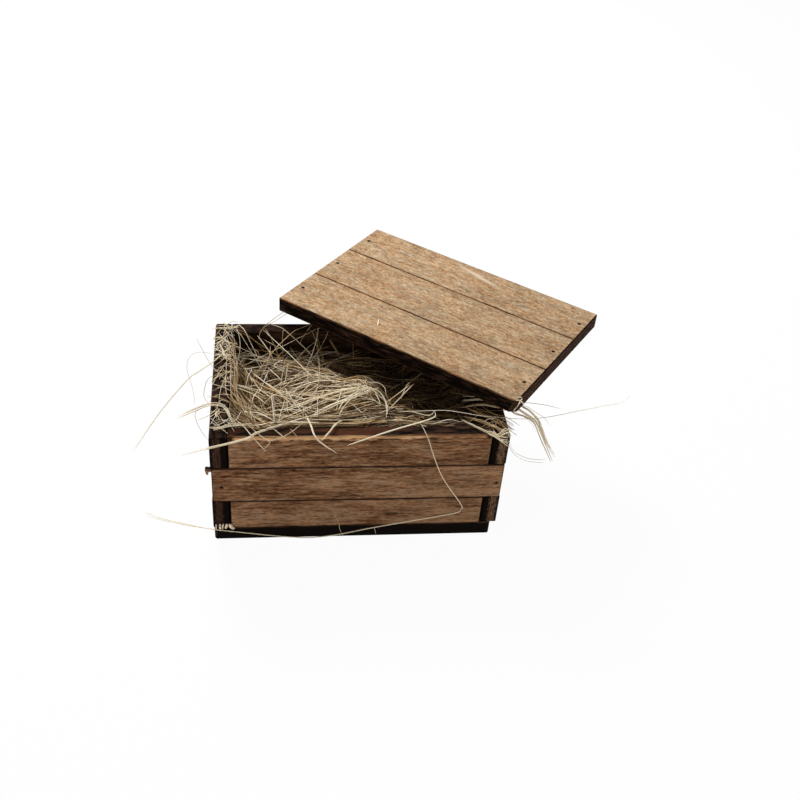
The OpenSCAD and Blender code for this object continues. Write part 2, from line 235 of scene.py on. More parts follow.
# How each kind of board is finished. The patterns are features per mm along the grain and across it, and
# their share of the grain; contrast is how far either side of the middle the ramp reaches its ends
FINISHES = {
    "wall": {
        "colours": ("wall_dark", "wall_mid", "wall_light"), "contrast": 0.1,
        "grain": ((0.12, 0.9, 0.42), (0.45, 2.6, 0.36), (0.035, 0.16, 0.3)),
        "pores": (0.35, 2.3), "pore_depth": 0.6, "arris": (0.3, 0.65), "bare": "scorched", "edge": 0.45, "burnt": 0.55,
        "rubbed_low": 0.0, "end_core": (3.1, 2.2), "nails_in": 0},
    "lid": {
        "colours": ("lid_dark", "lid_mid", "lid_light"), "contrast": 0.13,
        "grain": ((0.3, 0.85, 0.4), (0.85, 2.3, 0.46), (0.04, 0.14, 0.14)),
        "pores": (0.55, 2.0), "pore_depth": 0.45, "arris": (0.32, 0.68), "bare": "worn_dark", "edge": 0.3, "burnt": 0.6,
        "rubbed_low": 1.0, "end_core": (4.6, 3.6), "nails_in": 3.1},
}
FINISHES["base"] = FINISHES["wall"] | {"burnt": 0.8}


def board_middle(node, turn):
    """The middle and half size of a board in mm, measured along its own length and width."""
    square = Matrix.Rotation(turn, 3, "Z")
    points = np.array([square @ v.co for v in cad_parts[node].data.vertices]) / MM
    low, high = points.min(0), points.max(0)
    return (low + high) / 2, (high - low) / 2


def laser_cut_plank(node, finish, axes, seed, turn=0.0, worn=False, inner=0, bare_ends=False, tone=0.0,
                    pale=None, sooty=(1.0, 0.93), paler_on=0.0):
    """Stained birch, cut by laser: fine streaks on the wide faces, and edges charred black that have
    rubbed brown in places. axes gives which of the board's X, Y and Z run along its grain, across it and
    through its thickness. worn is whether its outer top edge is rubbed to bare wood, bare_ends whether its
    ends are, inner which way through the board the inside of the crate lies, 1 or -1, tone how much
    darker, under 0, or lighter the board is, and pale the place, in mm from its middle, and the slant, in
    degrees, of a streak of paler wood. The next argument sets the painted shade on the inner faces, and
    the last a painted light that makes the board paler along its length, per mm."""
    wood = bpy.context.scene.crate_wood
    look = FINISHES[finish]
    middle, half = board_middle(node, turn)
    half_long, half_wide, half_thick = (float(half["XYZ".index(a)]) for a in axes)
    material, tree, surface = new_material(
        "stained_birch_" + node, Roughness=0.8, Specular_IOR_Level=0.03)

    def maths(operation, *values):
        return add_node(tree, "Math", dict(enumerate(values)), operation=operation)

    def between(value, low, high, start=0.0, stop=1.0):
        return add_node(tree, "MapRange", {
            "Value": value, "From Min": low, "From Max": high, "To Min": start, "To Max": stop})

    def mixed(share, first, second, blend="MIX"):
        first, second = ((*c, 1) if isinstance(c, tuple) else c for c in (first, second))
        return add_node(tree, "Mix", {0: share, 6: first, 7: second}, out=2, data_type="RGBA", blend_type=blend)

    def pattern(long, cross, step, **noise):
        return stretched_noise(tree, place, (long, cross, cross), seed + step, **noise)

    where = add_node(tree, "TexCoord", out="Object")
    board = add_node(tree, "Mapping", {
        "Vector": where, "Scale": (1 / MM,) * 3, "Rotation": (0, 0, turn), "Location": -middle})
    part = add_node(tree, "SeparateXYZ", {"Vector": board}).node.outputs
    along, across, through = (part["XYZ".index(a)] for a in axes)
    place = add_node(tree, "CombineXYZ", {"X": along, "Y": across, "Z": through})
    facing = add_node(tree, "NewGeometry", out="True Normal")
    facing = add_node(tree, "Mapping", {"Vector": facing, "Rotation": (0, 0, turn)}, vector_type="VECTOR")
    inward = add_node(tree, "SeparateXYZ", {"Vector": facing}).node.outputs["XYZ".index(axes[2])]
    facing = add_node(tree, "VectorMath", {0: facing}, operation="ABSOLUTE")
    faces = add_node(tree, "SeparateXYZ", {"Vector": facing}).node.outputs
    end, _, wide = (faces["XYZ".index(a)] for a in axes)

    # Grain of the wide faces: streaks, fine flecks and clouds
    grain = 0.0
    layers = []
    for step, (long, cross, share) in enumerate(look["grain"]):
        layers.append(pattern(long, cross, step, detail=3.0, roughness=0.62, distortion=0.25))
        grain = maths("MULTIPLY_ADD", layers[-1], share, grain)
    streak, fine, cloud = layers
    # Painted light: the board made paler along its length
    if paler_on:
        grain = maths("MULTIPLY_ADD", along, paler_on, grain)
    dark, mid, light = (tuple(getattr(wood, c)) for c in look["colours"])
    spread = look["contrast"]
    colour = ramp(tree, grain, [(0.5 - spread - tone, dark), (0.5 - tone, mid), (0.5 + spread - tone, light)])
    patches = pattern(0.09, 0.4, 7, detail=2.0)
    patches = ramp(tree, patches, [(0.36, wood.warm_cast), (0.64, wood.cool_cast)])
    colour = mixed(1.0, colour, patches, "MULTIPLY")

    # Pores, as short dark flecks
    pores = between(pattern(*look["pores"], 3, detail=1.0), 0.54, 0.68, 0.0, look["pore_depth"])
    colour = mixed(pores, colour, dark)

    if pale:
        streak_x, streak_y, slant = pale
        spot = add_node(tree, "Mapping", {
            "Vector": place, "Location": (streak_x, streak_y, half_thick), "Rotation": (0, 0, math.radians(slant)),
            "Scale": (13, 1.1, 2)}, vector_type="TEXTURE")
        spot = add_node(tree, "VectorMath", {0: spot}, out="Value", operation="LENGTH")
        spot = between(maths("MULTIPLY_ADD", fine, 2.6, spot), 2.5, 1.5, 0.0, 0.6)
        colour = mixed(spot, colour, tuple(wood.torn))

    # A charred ring round the nail at each end of a lid board, whose hole was cut by laser
    if look["nails_in"]:
        from_nail = maths("SUBTRACT", maths("ABSOLUTE", along), half_long - look["nails_in"])
        ring = add_node(tree, "CombineXYZ", {"X": from_nail, "Y": across})
        ring = add_node(tree, "VectorMath", {0: ring}, out="Value", operation="LENGTH")
        ring = between(maths("MULTIPLY_ADD", fine, 0.5, ring), 1.2, 0.85, 0.0, 0.9)
        ring = maths("MULTIPLY", ring, between(through, half_thick - 0.6, half_thick - 0.4))
        colour = mixed(ring, colour, tuple(wood.char))

    # The wide faces scorched along the cuts, partly painted shade in the seams where boards meet; then painted shade on
    # the inner faces of the crate
    far_across = maths("SUBTRACT", half_wide, maths("ABSOLUTE", across))
    scorch_and_seam_shade = between(maths("MULTIPLY_ADD", fine, -1.0, far_across), -0.2, 0.35, look["edge"], 0.0)
    colour = mixed(scorch_and_seam_shade, colour, tuple(wood.scorched))
    # Painted shade: the inner faces darkened towards char, for the shade inside the crate
    if inner:
        soot = between(inward, 0.8 * inner, 0.95 * inner, 0.0, between(streak, 0.35, 0.6, *sooty))
        colour = mixed(soot, colour, tuple(wood.char))

    # Arrises, charred and rubbed in places
    low, high = look["arris"]
    rubbed = pattern(0.12, 0.6, 4, detail=2.0)
    arris = mixed(between(rubbed, low, high), tuple(wood.char), tuple(getattr(wood, look["bare"])))
    colour = mixed(between(wide, 0.95, 0.85), colour, arris)

    # Cut edges and ends, charred. The char on an end has rubbed off in its middle
    burnt = between(pattern(0.16, 0.9, 5, detail=3.0), look["burnt"] - 0.12, look["burnt"] + 0.12)
    if look["rubbed_low"]:
        line = maths("MULTIPLY_ADD", fine, -0.9, maths("SUBTRACT", half_thick, maths("ABSOLUTE", through)))
        line = between(line, 0.4, -0.1, 0.0, look["rubbed_low"])
        burnt = maths("MAXIMUM", burnt, maths("MULTIPLY", line, between(streak, 0.35, 0.55, 0.3, 1.0)))
    core = maths("ABSOLUTE", maths("ADD", through, 0.7 * inner))
    core = between(maths("MULTIPLY_ADD", streak, 2.6, core), *look["end_core"], 0.0, 0.95)
    rings = stretched_noise(tree, place, (0.1, 0.35, 2.6), seed + 9, detail=2.0)
    core = maths("MULTIPLY", core, between(rings, 0.38, 0.58, 0.1, 1.0))
    on_end = between(end, 0.5, 0.6)
    cut = mixed(burnt, tuple(wood.char), tuple(wood.scorched))
    cut = mixed(on_end, cut, mixed(core, tuple(wood.char), tuple(wood.end_bare if bare_ends else wood.scorched)))
    on_cut = maths("MAXIMUM", between(wide, 0.6, 0.4), on_end)
    colour = mixed(on_cut, colour, cut)

    # An outer top edge rubbed to bare wood, with a frayed lower side
    if worn:
        on_rim = between(across, half_wide - 0.3, half_wide - 0.1)
        singed = maths("MULTIPLY", on_rim, between(pattern(0.06, 0.5, 10, detail=3.0), 0.45, 0.6, 0.0, 0.8))
        colour = mixed(singed, colour, tuple(wood.singed))
        rubbed = maths("MULTIPLY_ADD", pattern(0.25, 1.2, 6, detail=3.0), 2.8, maths("ADD", across, -0.2))
        rubbed = between(rubbed, half_wide - 0.2, half_wide + 0.5)
        outside = maths("MULTIPLY_ADD", streak, 1.2, maths("MULTIPLY", through, -float(inner)))
        outside = between(outside, half_thick - 0.9, half_thick - 0.1)
        clear = between(maths("ABSOLUTE", along), half_long - 1.5, half_long - 3.0)
        rubbed = maths("MULTIPLY", rubbed, maths("MULTIPLY", outside, clear))
        to_right = maths("MULTIPLY", maths("MAXIMUM", along, 0.0), -0.005)
        bare = maths("ADD", pattern(0.09, 1.3, 8, detail=3.0), to_right)
        bare = mixed(between(bare, 0.32, 0.5), tuple(wood.worn_dark), tuple(wood.worn))
        colour = mixed(rubbed, colour, bare)
    tree.links.new(colour, surface.inputs["Base Color"])

    height = maths("MULTIPLY_ADD", pores, -0.4, grain)
    bump = add_node(tree, "Bump", {"Height": height, "Strength": 0.6, "Distance": 0.3 * MM})
    tree.links.new(bump, surface.inputs["Normal"])
    return material


def finish_board(node, finish, axes, seed, **look):
    material = laser_cut_plank(node, finish, axes, seed, **look)
    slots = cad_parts[node].data.materials
    slots.clear()
    slots.append(material)


# ---- Strands of dry grass ----

# Height of the top of the grass at places in the crate, in mm: it climbs the left wall, stands at the rim
# along the front and under the lid, and dips at the back
GRASS_HEIGHTS = [
    (-47, -27, 49), (-47, -10, 48), (-47, 8, 47), (-46, 24, 41),
    (-41, -26, 49), (-40, -12, 45), (-40, 2, 42.5), (-38, 14, 42), (-38, 27, 39.5),
    (-30, -26, 50), (-30, -12, 48), (-28, 2, 45.5), (-26, 12, 44), (-24, 25, 40.5),
    (-15, -27, 50), (-15, -14, 49.5), (-14, -2, 48.5), (-14, 7, 46), (-12, 16, 42.5), (-10, 27, 38.5),
    (2, -27, 50), (2, -14, 50), (2, -5, 50), (2, 2, 46.5), (2, 9, 39), (2, 22, 35),
    (16, -27, 50), (16, -19, 47.5), (15, -9, 42), (15, 2, 37), (17, 20, 33),
    (31, -28, 49.5), (30, -20, 43), (30, -8, 38), (32, 10, 38), (32, 24, 45),
    (46, -27, 50), (45, -14, 43), (46, 5, 44), (46, 26, 49)]

# Direction in which the grass lies at places in the crate, in degrees from +X
GRASS_FLOW = [
    (-46, -18, -82), (-46, 0, -88), (-46, 20, -95), (-36, 22, -12), (-22, 22, -4), (-40, -25, -40), (-38, -8, -60), (-38, 8, -70), (-34, -18, -22),
    (-28, -26, 8), (-28, 0, -25), (-28, 12, -15), (-24, -16, 25), (-18, -8, 38), (-20, 6, -5),
    (-12, -24, 30), (-6, -10, 38), (-8, 4, 4), (-8, 20, -10), (6, -24, 34), (5, -8, 28), (8, 4, -5),
    (18, -24, 12), (20, -12, 18), (20, 2, 2), (20, 20, -20), (32, -24, 2), (32, -10, 6),
    (46, -22, -10), (44, -6, -5), (42, 14, -5)]


def near_weights(x, y, places, reach):
    """How much each listed place counts at (x, y), by how near it is."""
    away = (x[..., None] - places[:, 0]) ** 2 + (y[..., None] - places[:, 1]) ** 2
    weight = 1 / (away + reach ** 2) ** 2
    return weight / weight.sum(-1, keepdims=True)


def grass_height(x, y):
    places = np.array(GRASS_HEIGHTS)
    return near_weights(x, y, places, 3.0) @ places[:, 2]


def grass_direction(x, y):
    places = np.array(GRASS_FLOW, float)
    weight = near_weights(x, y, places, 5.0)
    double = np.radians(places[:, 2]) * 2
    return np.arctan2(weight @ np.sin(double), weight @ np.cos(double)) / 2


def from_lid(x, y):
    """How far places lie from the lid in mm, less than 0 under it."""
    dx, dy = x - LID_PLACE[0], y - LID_PLACE[1]
    along = dx * math.cos(LID_TURN) - dy * math.sin(LID_TURN)
    across = dx * math.sin(LID_TURN) + dy * math.cos(LID_TURN)
    return np.maximum(np.abs(along) - LID_SIZE[0] / 2, np.abs(across) - LID_SIZE[1] / 2)


def keep_inside(points):
    """Keeps strands between the walls, and under the battens where the lid covers them."""
    x, y, z = points[..., 0], points[..., 1], points[..., 2]
    x[:] = np.clip(x, INNER_LEFT + 0.5, INNER_RIGHT - 0.5)
    y[:] = np.clip(y, INNER_FRONT + 0.5, INNER_BACK - 0.5)
    z[:] = np.where(from_lid(x, y) < 1, np.minimum(z, RIM_Z - 0.1), z)
    z[:] = np.maximum(z, BASE_TOP_Z + 1)


def soften(points):
    points[:, 1:-1] = (points[:, :-2] + 2 * points[:, 1:-1] + points[:, 2:]) / 4


def laid_strands(rng, tufts, per_tuft, steps, length, depth, stray, bow, kinked=0.0, limp=0.6):
    """Paths of strands that lie in the crate in tufts, along the flow of the grass. depth is how far they
    lie under the top in mm, stray how far they turn from the flow in radians, bow how far their middles
    stand up in mm, kinked the share of strands with a sharp bend, and limp how much they curl, up to 1."""
    count = tufts * per_tuft

    def for_tufts(values):
        return np.repeat(values, per_tuft, 0)

    x = for_tufts(rng.uniform(INNER_LEFT + 1, INNER_RIGHT - 1, tufts)) + rng.normal(0, 1.3, count)
    y = for_tufts(rng.uniform(INNER_FRONT + 1, INNER_BACK - 1, tufts)) + rng.normal(0, 1.3, count)
    stray = stray * (1 + 2.5 * np.clip(-from_lid(x, y) / 12, 0, 1))
    heading = grass_direction(x, y) + for_tufts(rng.normal(0, 1, tufts)) * stray + rng.normal(0, 0.09, count)
    inward = for_tufts(rng.normal(0, 12, tufts))
    heading = np.where(np.cos(heading) * -x + np.sin(heading) * -y > inward, heading, heading + np.pi)
    step = (for_tufts(rng.uniform(*length, tufts)) * rng.uniform(0.7, 1, count)) / (steps - 1)
    curl = (for_tufts(rng.normal(0, 1, tufts)) / 90 + rng.normal(0, 1, count) / 220) * limp
    kink_at = np.where(rng.random(count) < kinked, rng.integers(2, steps - 1, count), -1)
    kink = rng.normal(0, 0.7, count)
    turned = for_tufts(rng.normal(0, 1, tufts)) * stray * 0.6
    track = []
    for i in range(steps):
        track.append(np.stack([x, y], -1))
        heading = heading + curl * step + np.where(kink_at == i, kink, 0)
        flow = grass_direction(x, y) + turned
        flow = flow + np.pi * np.round((heading - flow) / np.pi)
        heading = heading + (flow - heading) * np.clip(step / 30, 0, 1) * limp
        x = np.clip(x + np.cos(heading) * step, INNER_LEFT + 0.6, INNER_RIGHT - 0.6)
        y = np.clip(y + np.sin(heading) * step, INNER_FRONT + 0.6, INNER_BACK - 0.6)
    track = np.stack(track, 1)
    s = np.linspace(0, 1, steps)[None, :]
    wave = np.sin(s * rng.uniform(3, 8, (count, 1)) + rng.uniform(0, 6.28, (count, 1))) * rng.uniform(0, 0.5, (count, 1)) * limp
    arch = 4 * s * (1 - s) * (for_tufts(rng.uniform(*bow, (tufts, 1))) + rng.normal(0, 0.3, (count, 1)))
    level = for_tufts(rng.uniform(*depth, (tufts, 1))) + rng.normal(0, 0.35, (count, 1))
    tilt = (s - 0.5) * (for_tufts(rng.normal(0, 1.3, (tufts, 1))) + rng.normal(0, 0.5, (count, 1)))
    z = grass_height(track[..., 0], track[..., 1]) - level + wave + arch + tilt
    points = np.concatenate([track, z[..., None]], -1)
    keep_inside(points)
    soften(points)
    return points


def through(points, steps):
    """A smooth path through given points, evenly divided."""
    p = np.array(points, float)
    p = np.vstack([2 * p[0] - p[1], p, 2 * p[-1] - p[-2]])
    fine = []
    for a, b, c, d in zip(p[:-3], p[1:-2], p[2:-1], p[3:]):
        for t in np.linspace(0, 1, 12, endpoint=False):
            fine.append(0.5 * (2 * b + (c - a) * t + (2 * a - 5 * b + 4 * c - d) * t ** 2
                               + (3 * b - a - 3 * c + d) * t ** 3))
    fine = np.array(fine + [p[-2]])
    gone = np.r_[0, np.cumsum(np.linalg.norm(np.diff(fine, axis=0), axis=1))]
    even = np.linspace(0, gone[-1], steps)
    return np.stack([np.interp(even, gone, fine[:, k]) for k in range(3)], -1)


def strand_object(name, groups, seed, sides=3):
    """One mesh of many strands. groups holds (paths, widths, tints): paths in mm with one row a strand,
    a width for each in mm, and a tint from 0, brown, to 1, bleached."""
    rng = np.random.default_rng(seed)
    all_points, all_faces, all_tints, start = [], [], [], 0
    for paths, widths, tints in groups:
        count, steps = paths.shape[:2]
        forward = np.gradient(paths, axis=1)
        forward /= np.linalg.norm(forward, axis=-1, keepdims=True) + 1e-9
        upright = np.array([0, 0, 1.0]) + rng.normal(0, 0.55, (count, 1, 3))
        side = np.cross(forward, upright)
        side /= np.linalg.norm(side, axis=-1, keepdims=True) + 1e-9
        normal = np.cross(side, forward)
        s = np.linspace(-1, 1, steps)[None, :, None]
        taper = 1 - 0.65 * np.abs(s) ** 6
        half_w = np.asarray(widths)[:, None, None] / 2 * taper
        half_t = half_w * rng.uniform(0.45, 0.8, (count, 1, 1))
        turns = np.arange(sides) * 2 * np.pi / sides + 0.5
        rings = [paths + side * half_w * math.cos(a) + normal * half_t * math.sin(a) for a in turns]
        points = np.stack(rings, 2)
        grid = np.arange(count * steps * sides).reshape(count, steps, sides) + start
        a, b = grid[:, :-1], grid[:, 1:]
        quads = np.stack([a, b, np.roll(b, -1, 2), np.roll(a, -1, 2)], -1).reshape(-1, 4)
        all_faces += quads[:, ::-1].tolist()
        all_faces += grid[:, 0, :].tolist() + grid[:, -1, ::-1].tolist()
        all_points.append(points.reshape(-1, 3))
        all_tints.append(np.repeat(tints, steps * sides))
        start += count * steps * sides
    mesh = bpy.data.meshes.new(name)
    mesh.from_pydata((np.vstack(all_points) * MM).tolist(), [], all_faces)
    mesh.attributes.new("tint", "FLOAT", "POINT").data.foreach_set(
        "value", np.concatenate(all_tints).astype(np.float32))
    mesh.shade_smooth()
    mesh.update()
    made = bpy.data.objects.new(name, mesh)
    bpy.context.scene.collection.objects.link(made)
    return made


def dry_grass():
    """Dry meadow grass, cut and cured: dull, pale and a little brown in places."""
    straw = bpy.context.scene.crate_straw
    if "dry_meadow_grass" in bpy.data.materials:
        return bpy.data.materials["dry_meadow_grass"]
    material, tree, surface = new_material(
        "dry_meadow_grass", Roughness=0.6, Specular_IOR_Level=0.35, Subsurface_Weight=0.4,
        Subsurface_Radius=(1, 0.9, 0.7), Subsurface_Scale=0.4 * MM)
    tint = add_node(tree, "Attribute", attribute_name="tint", out="Fac")
    where = add_node(tree, "TexCoord", out="Object")
    patches = stretched_noise(tree, where, (1 / MM * 0.25,) * 3, 4.0, 2.0, 0.6)
    shift = add_node(tree, "Math", {0: patches, 1: 0.5, 2: -0.25}, operation="MULTIPLY_ADD")
    shift = add_node(tree, "Math", {0: tint, 1: shift}, operation="ADD")
    # Tints under 0 run into the painted shade colour of blades deep in the crate and under the lid
    shift = add_node(tree, "MapRange", {"Value": shift, "From Min": -0.5, "From Max": 1.0})
    colour = ramp(tree, shift, [
        (0.0, straw.dusty), (0.37, straw.shade), (0.7, straw.body), (0.97, straw.bleached)])
    tree.links.new(colour, surface.inputs["Base Color"])
    ribs = stretched_noise(tree, where, (1 / MM * 2.0,) * 3, 9.0, 1.0, 0.5)
    bump = add_node(tree, "Bump", {"Height": ribs, "Strength": 0.3, "Distance": 0.05 * MM})
    tree.links.new(bump, surface.inputs["Normal"])
    return material


def place_strands(name, groups, seed, sides=3):
    made = strand_object(name, groups, seed, sides)
    made.data.materials.append(dry_grass())
    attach(made, "crate")
    return made


def strand_group(rng, paths, width, tint):
    """Paths with a width in mm and a tint for each, drawn between the limits given."""
    return paths, rng.uniform(*width, len(paths)), rng.uniform(*tint, len(paths))


def laid_group(rng, paths, width, tint):
    """A strand group of grass that lies in the crate. Under the lid and to the right the blades are darkened,
    a painted shade, and to the left they are made paler."""
    middle = paths[:, paths.shape[1] // 2]
    paths, widths, tints = strand_group(rng, paths, width, tint)
    painted_lid_shade = np.clip(1 - from_lid(middle[:, 0], middle[:, 1]) / 9, 0, 1)
    right = np.clip((middle[:, 0] - 8) / 12, 0, 1)
    left = np.clip((-22 - middle[:, 0]) / 12, 0, 1)
    # Painted shade under the lid and to the right; paler to the left
    return paths, widths, tints - 0.45 * np.maximum(painted_lid_shade, 0.8 * right) + 0.12 * left


# ---- Pieces ----

class CRATE_OT_walls(bpy.types.Operator):
    """Finish the twelve wall boards"""
    bl_idname = "crate.walls"
    bl_label = "Wall boards"

    def execute(self, context):
        inner = {"front": 1, "back": -1, "left": 1, "right": -1}
        for number, wall in enumerate(inner):
            axes = "XZY" if wall in ("front", "back") else "YZX"
            for course, height in enumerate(("top", "middle", "bottom")):
                node = f"{wall}_{height}"
                finish_board(node, "wall", axes, 3.0 * number + course + 1,
                             worn=node == "front_top", inner=inner[wall], bare_ends=wall == "right",
                             # The top course darker and the bottom course lighter
                             tone=(-0.035, -0.005, 0.004)[course],
                             # How much painted shade the inner faces take; less on the back top board
                             sooty=(0.98, 0.84) if node == "back_top" else (1.0, 0.93),
                             # Painted light: the middle front board paler towards its right end
                             paler_on=0.0008 if node == "front_middle" else 0.0)
        return {"FINISHED"}


class CRATE_OT_base(bpy.types.Operator):
    """Finish the three boards of the base"""
    bl_idname = "crate.base"
    bl_label = "Base boards"

    def execute(self, context):
        for seed, node in enumerate(("base_front_board", "base_middle_board", "base_back_board")):
            finish_board(node, "base", "XYZ", 20.0 + seed)
        return {"FINISHED"}


class CRATE_OT_lid(bpy.types.Operator):
    """Finish the lid boards and the battens under them"""
    bl_idname = "crate.lid"
    bl_label = "Lid boards and battens"

    def execute(self, context):
        for seed, node in enumerate(("lid_front", "lid_middle", "lid_back_edge")):
            finish_board(node, "lid", "XYZ", 30.0 + seed, turn=LID_TURN,
                         pale=(1, 5.5, -14) if node == "lid_back_edge" else None)
        for seed, node in enumerate(("lid_batten_left", "lid_batten_right")):
            finish_board(node, "wall", "YXZ", 40.0 + seed, turn=LID_TURN)
        return {"FINISHED"}


class CRATE_OT_nails(bpy.types.Operator):
    """Finish the pin nails"""
    bl_idname = "crate.nails"
    bl_label = "Pin nails"

    def execute(self, context):
        # Blackened steel wire, drawn and dull: it shows as small dark dots
        material, tree, surface = new_material("blackened_steel_pins", Roughness=0.7, Specular_IOR_Level=0.15)
        where = add_node(tree, "TexCoord", out="Object")
        spots = stretched_noise(tree, where, (1 / MM * 1.5,) * 3, 2.0, 2.0)
        wood = context.scene.crate_wood
        colour = ramp(tree, spots, [(0.4, wood.char), (0.6, wood.steel)])
        tree.links.new(colour, surface.inputs["Base Color"])
        for node in ("front_nails", "back_nails", "left_nails", "right_nails", "base_nails",
                     "lid_nails", "batten_nails"):
            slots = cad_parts[node].data.materials
            slots.clear()
            slots.append(material)
        return {"FINISHED"}


class CRATE_OT_packed_grass(bpy.types.Operator):
    """Fill the crate with packed grass, up to just under what shows"""
    bl_idname = "crate.packed_grass"
    bl_label = "Packed grass"

    def execute(self, context):
        full = context.scene.crate_straw.fullness
        made = packed_mass("grass_filling")
        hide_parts("straw_bed", "straw_front_heap", "straw_lid_heap")
        rng = np.random.default_rng(11)
        deep = laid_strands(rng, int(400 * full), 5, 9, (16, 44), (3, 8), 0.9, (0, 1.5), kinked=0.3)
        # The deep blades take low tints: brown, and partly the painted shade colour
        place_strands("grass_deep", [laid_group(rng, deep, (0.35, 0.7), (-0.1, 0.3))], 12)
        return {"FINISHED"}


def packed_mass(name):
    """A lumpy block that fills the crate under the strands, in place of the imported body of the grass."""
    columns, rows = 56, 36
    rng = np.random.default_rng(5)
    x = np.linspace(INNER_LEFT + 0.4, INNER_RIGHT - 0.4, columns)
    y = np.linspace(INNER_FRONT + 0.4, INNER_BACK - 0.4, rows)
    gx, gy = np.meshgrid(x, y, indexing="ij")
    top = grass_height(gx, gy) - 7.0 + rng.normal(0, 0.5, gx.shape)
    upper = np.stack([gx, gy, top], -1).reshape(-1, 3)
    lower = np.stack([gx, gy, np.full_like(gx, BASE_TOP_Z + 0.4)], -1).reshape(-1, 3)
    index = np.arange(columns * rows).reshape(columns, rows)
    quads = np.stack([index[:-1, :-1], index[1:, :-1], index[1:, 1:], index[:-1, 1:]], -1).reshape(-1, 4)
    faces = quads.tolist() + (quads[:, ::-1] + columns * rows).tolist()
    rim = np.concatenate([index[:-1, 0], index[-1, :-1], index[:0:-1, -1], index[0, :0:-1]])
    for a, b in zip(rim, np.roll(rim, -1)):
        faces.append([int(b), int(a), int(a) + columns * rows, int(b) + columns * rows])
    mesh = bpy.data.meshes.new(name)
    mesh.from_pydata((np.vstack([upper, lower]) * MM).tolist(), [], faces)
    mesh.update()
    made = bpy.data.objects.new(name, mesh)
    bpy.context.scene.collection.objects.link(made)
    # Grass packed deep in the crate: its dark colour is painted shade, a dark ground that shows between strands
    material, tree, surface = new_material("packed_dusty_grass", Roughness=0.95, Specular_IOR_Level=0.05)
    where = add_node(tree, "TexCoord", out="Object")
    mixed = stretched_noise(tree, where, (0.3 / MM, 1.6 / MM, 1 / MM), 3.0, 3.0)
    scene = bpy.context.scene
    colour = ramp(tree, mixed, [(0.4, scene.crate_wood.char), (0.8, scene.crate_straw.shade)])
    tree.links.new(colour, surface.inputs["Base Color"])
    made.data.materials.append(material)
    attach(made, "crate")
    return made


class CRATE_OT_grass(bpy.types.Operator):
    """Lay the grass that shows at the top of the crate"""
    bl_idname = "crate.grass"
    bl_label = "Top grass"

    def execute(self, context):
        full = context.scene.crate_straw.fullness
        rng = np.random.default_rng(21)
        under = laid_strands(rng, int(170 * full), 7, 12, (26, 60), (1.2, 5.5), 0.25, (0, 1.5), kinked=0.12)
        place_strands("grass_laid", [laid_group(rng, under, (0.3, 0.6), (0.0, 0.6))], 22)
        top = laid_strands(rng, int(95 * full), 6, 14, (26, 62), (-0.6, 1.8), 0.16, (0, 1.8), kinked=0.08)
        cross = laid_strands(rng, int(230 * full), 1, 12, (10, 34), (-1.4, 0.6), 0.9, (0, 1.6), kinked=0.2, limp=0.15)
        place_strands("grass_top", [
            laid_group(rng, top, (0.32, 0.58), (0.0, 0.8)),
            laid_group(rng, cross, (0.26, 0.44), (0.6, 1.3))], 23)
        leaning = leaning_strands(rng, int(72 * full))
        place_strands("grass_against_back", [strand_group(rng, leaning, (0.2, 0.36), (0.25, 1.0))], 24)
        return {"FINISHED"}


def leaning_strands(rng, count):
    """Strands that lean from the hollow at the back against the back wall, some of them over its rim."""
    steps = 14
    s = np.linspace(0, 1, steps)[None, :]
    x0, y0 = rng.uniform(-46, -8, count), rng.uniform(6, 26, count)
    x1 = np.clip(x0 + rng.normal(0, 16, count), INNER_LEFT + 1, 8)
    over = rng.random(count) < 0.2
    y0 = np.where(over, np.minimum(y0, 13), y0)
    y1 = np.where(over, rng.uniform(30, 34, count), rng.uniform(20, INNER_BACK - 0.6, count))
    z0 = grass_height(x0, y0) - 1
    z1 = np.where(over, RIM_Z + rng.uniform(0.5, 2.0, count), rng.uniform(RIM_Z - 13, RIM_Z - 1, count))
    x = x0[:, None] + (x1 - x0)[:, None] * s + rng.normal(0, 1.3, (count, 1)) * np.sin(s * np.pi)
    y = y0[:, None] + (y1 - y0)[:, None] * s
    rise = np.clip(s * np.where(over, 1.3, 1.0)[:, None], 0, 1)
    z = z0[:, None] + (z1 - z0)[:, None] * rise + rng.uniform(-0.5, 1.6, (count, 1)) * np.sin(s * np.pi)
    x = np.clip(x, INNER_LEFT + 0.6, None)
    z = np.where(y > INNER_BACK - 1, np.maximum(z, RIM_Z + 0.45), z)
    return np.stack([x, y, z], -1)


def over_left_rim(x):
    """The height of the rim's top under x, falling away inside the crate and outside it."""
    sunk = np.clip((x - INNER_LEFT - 0.3) / 3.5, 0, 4) ** 1.3 * 2
    drop = np.clip((LEFT_X + 0.2 - x) / 2, 0, 4) ** 1.3
    return RIM_Z + 0.4 - sunk, drop


def rim_strands(rng, count):
    """Short strands that lie slanting across the left rim, some of them past its outer edge."""
    steps = 14
    s = np.linspace(0, 1, steps)[None, :]
    start = rng.uniform(INNER_LEFT - 1, INNER_LEFT + 5, (count, 1))
    stop = rng.uniform(LEFT_X - 1.5, LEFT_X + 4, (count, 1))
    x = start + (stop - start) * s + rng.normal(0, 0.8, (count, 1)) * np.sin(s * np.pi)
    y = rng.uniform(FRONT_Y + 5, BACK_Y - 4, (count, 1)) + rng.normal(0, 9, (count, 1)) * (s - 0.5)
    y = y + rng.normal(0, 1.5, (count, 1)) * np.sin(s * np.pi)
    floor, drop = over_left_rim(x)
    z = floor - drop * rng.uniform(0.1, 1, (count, 1)) + rng.uniform(0, 1.5, (count, 1)) * np.sin(s * np.pi)
    return np.stack([x, y, z], -1)


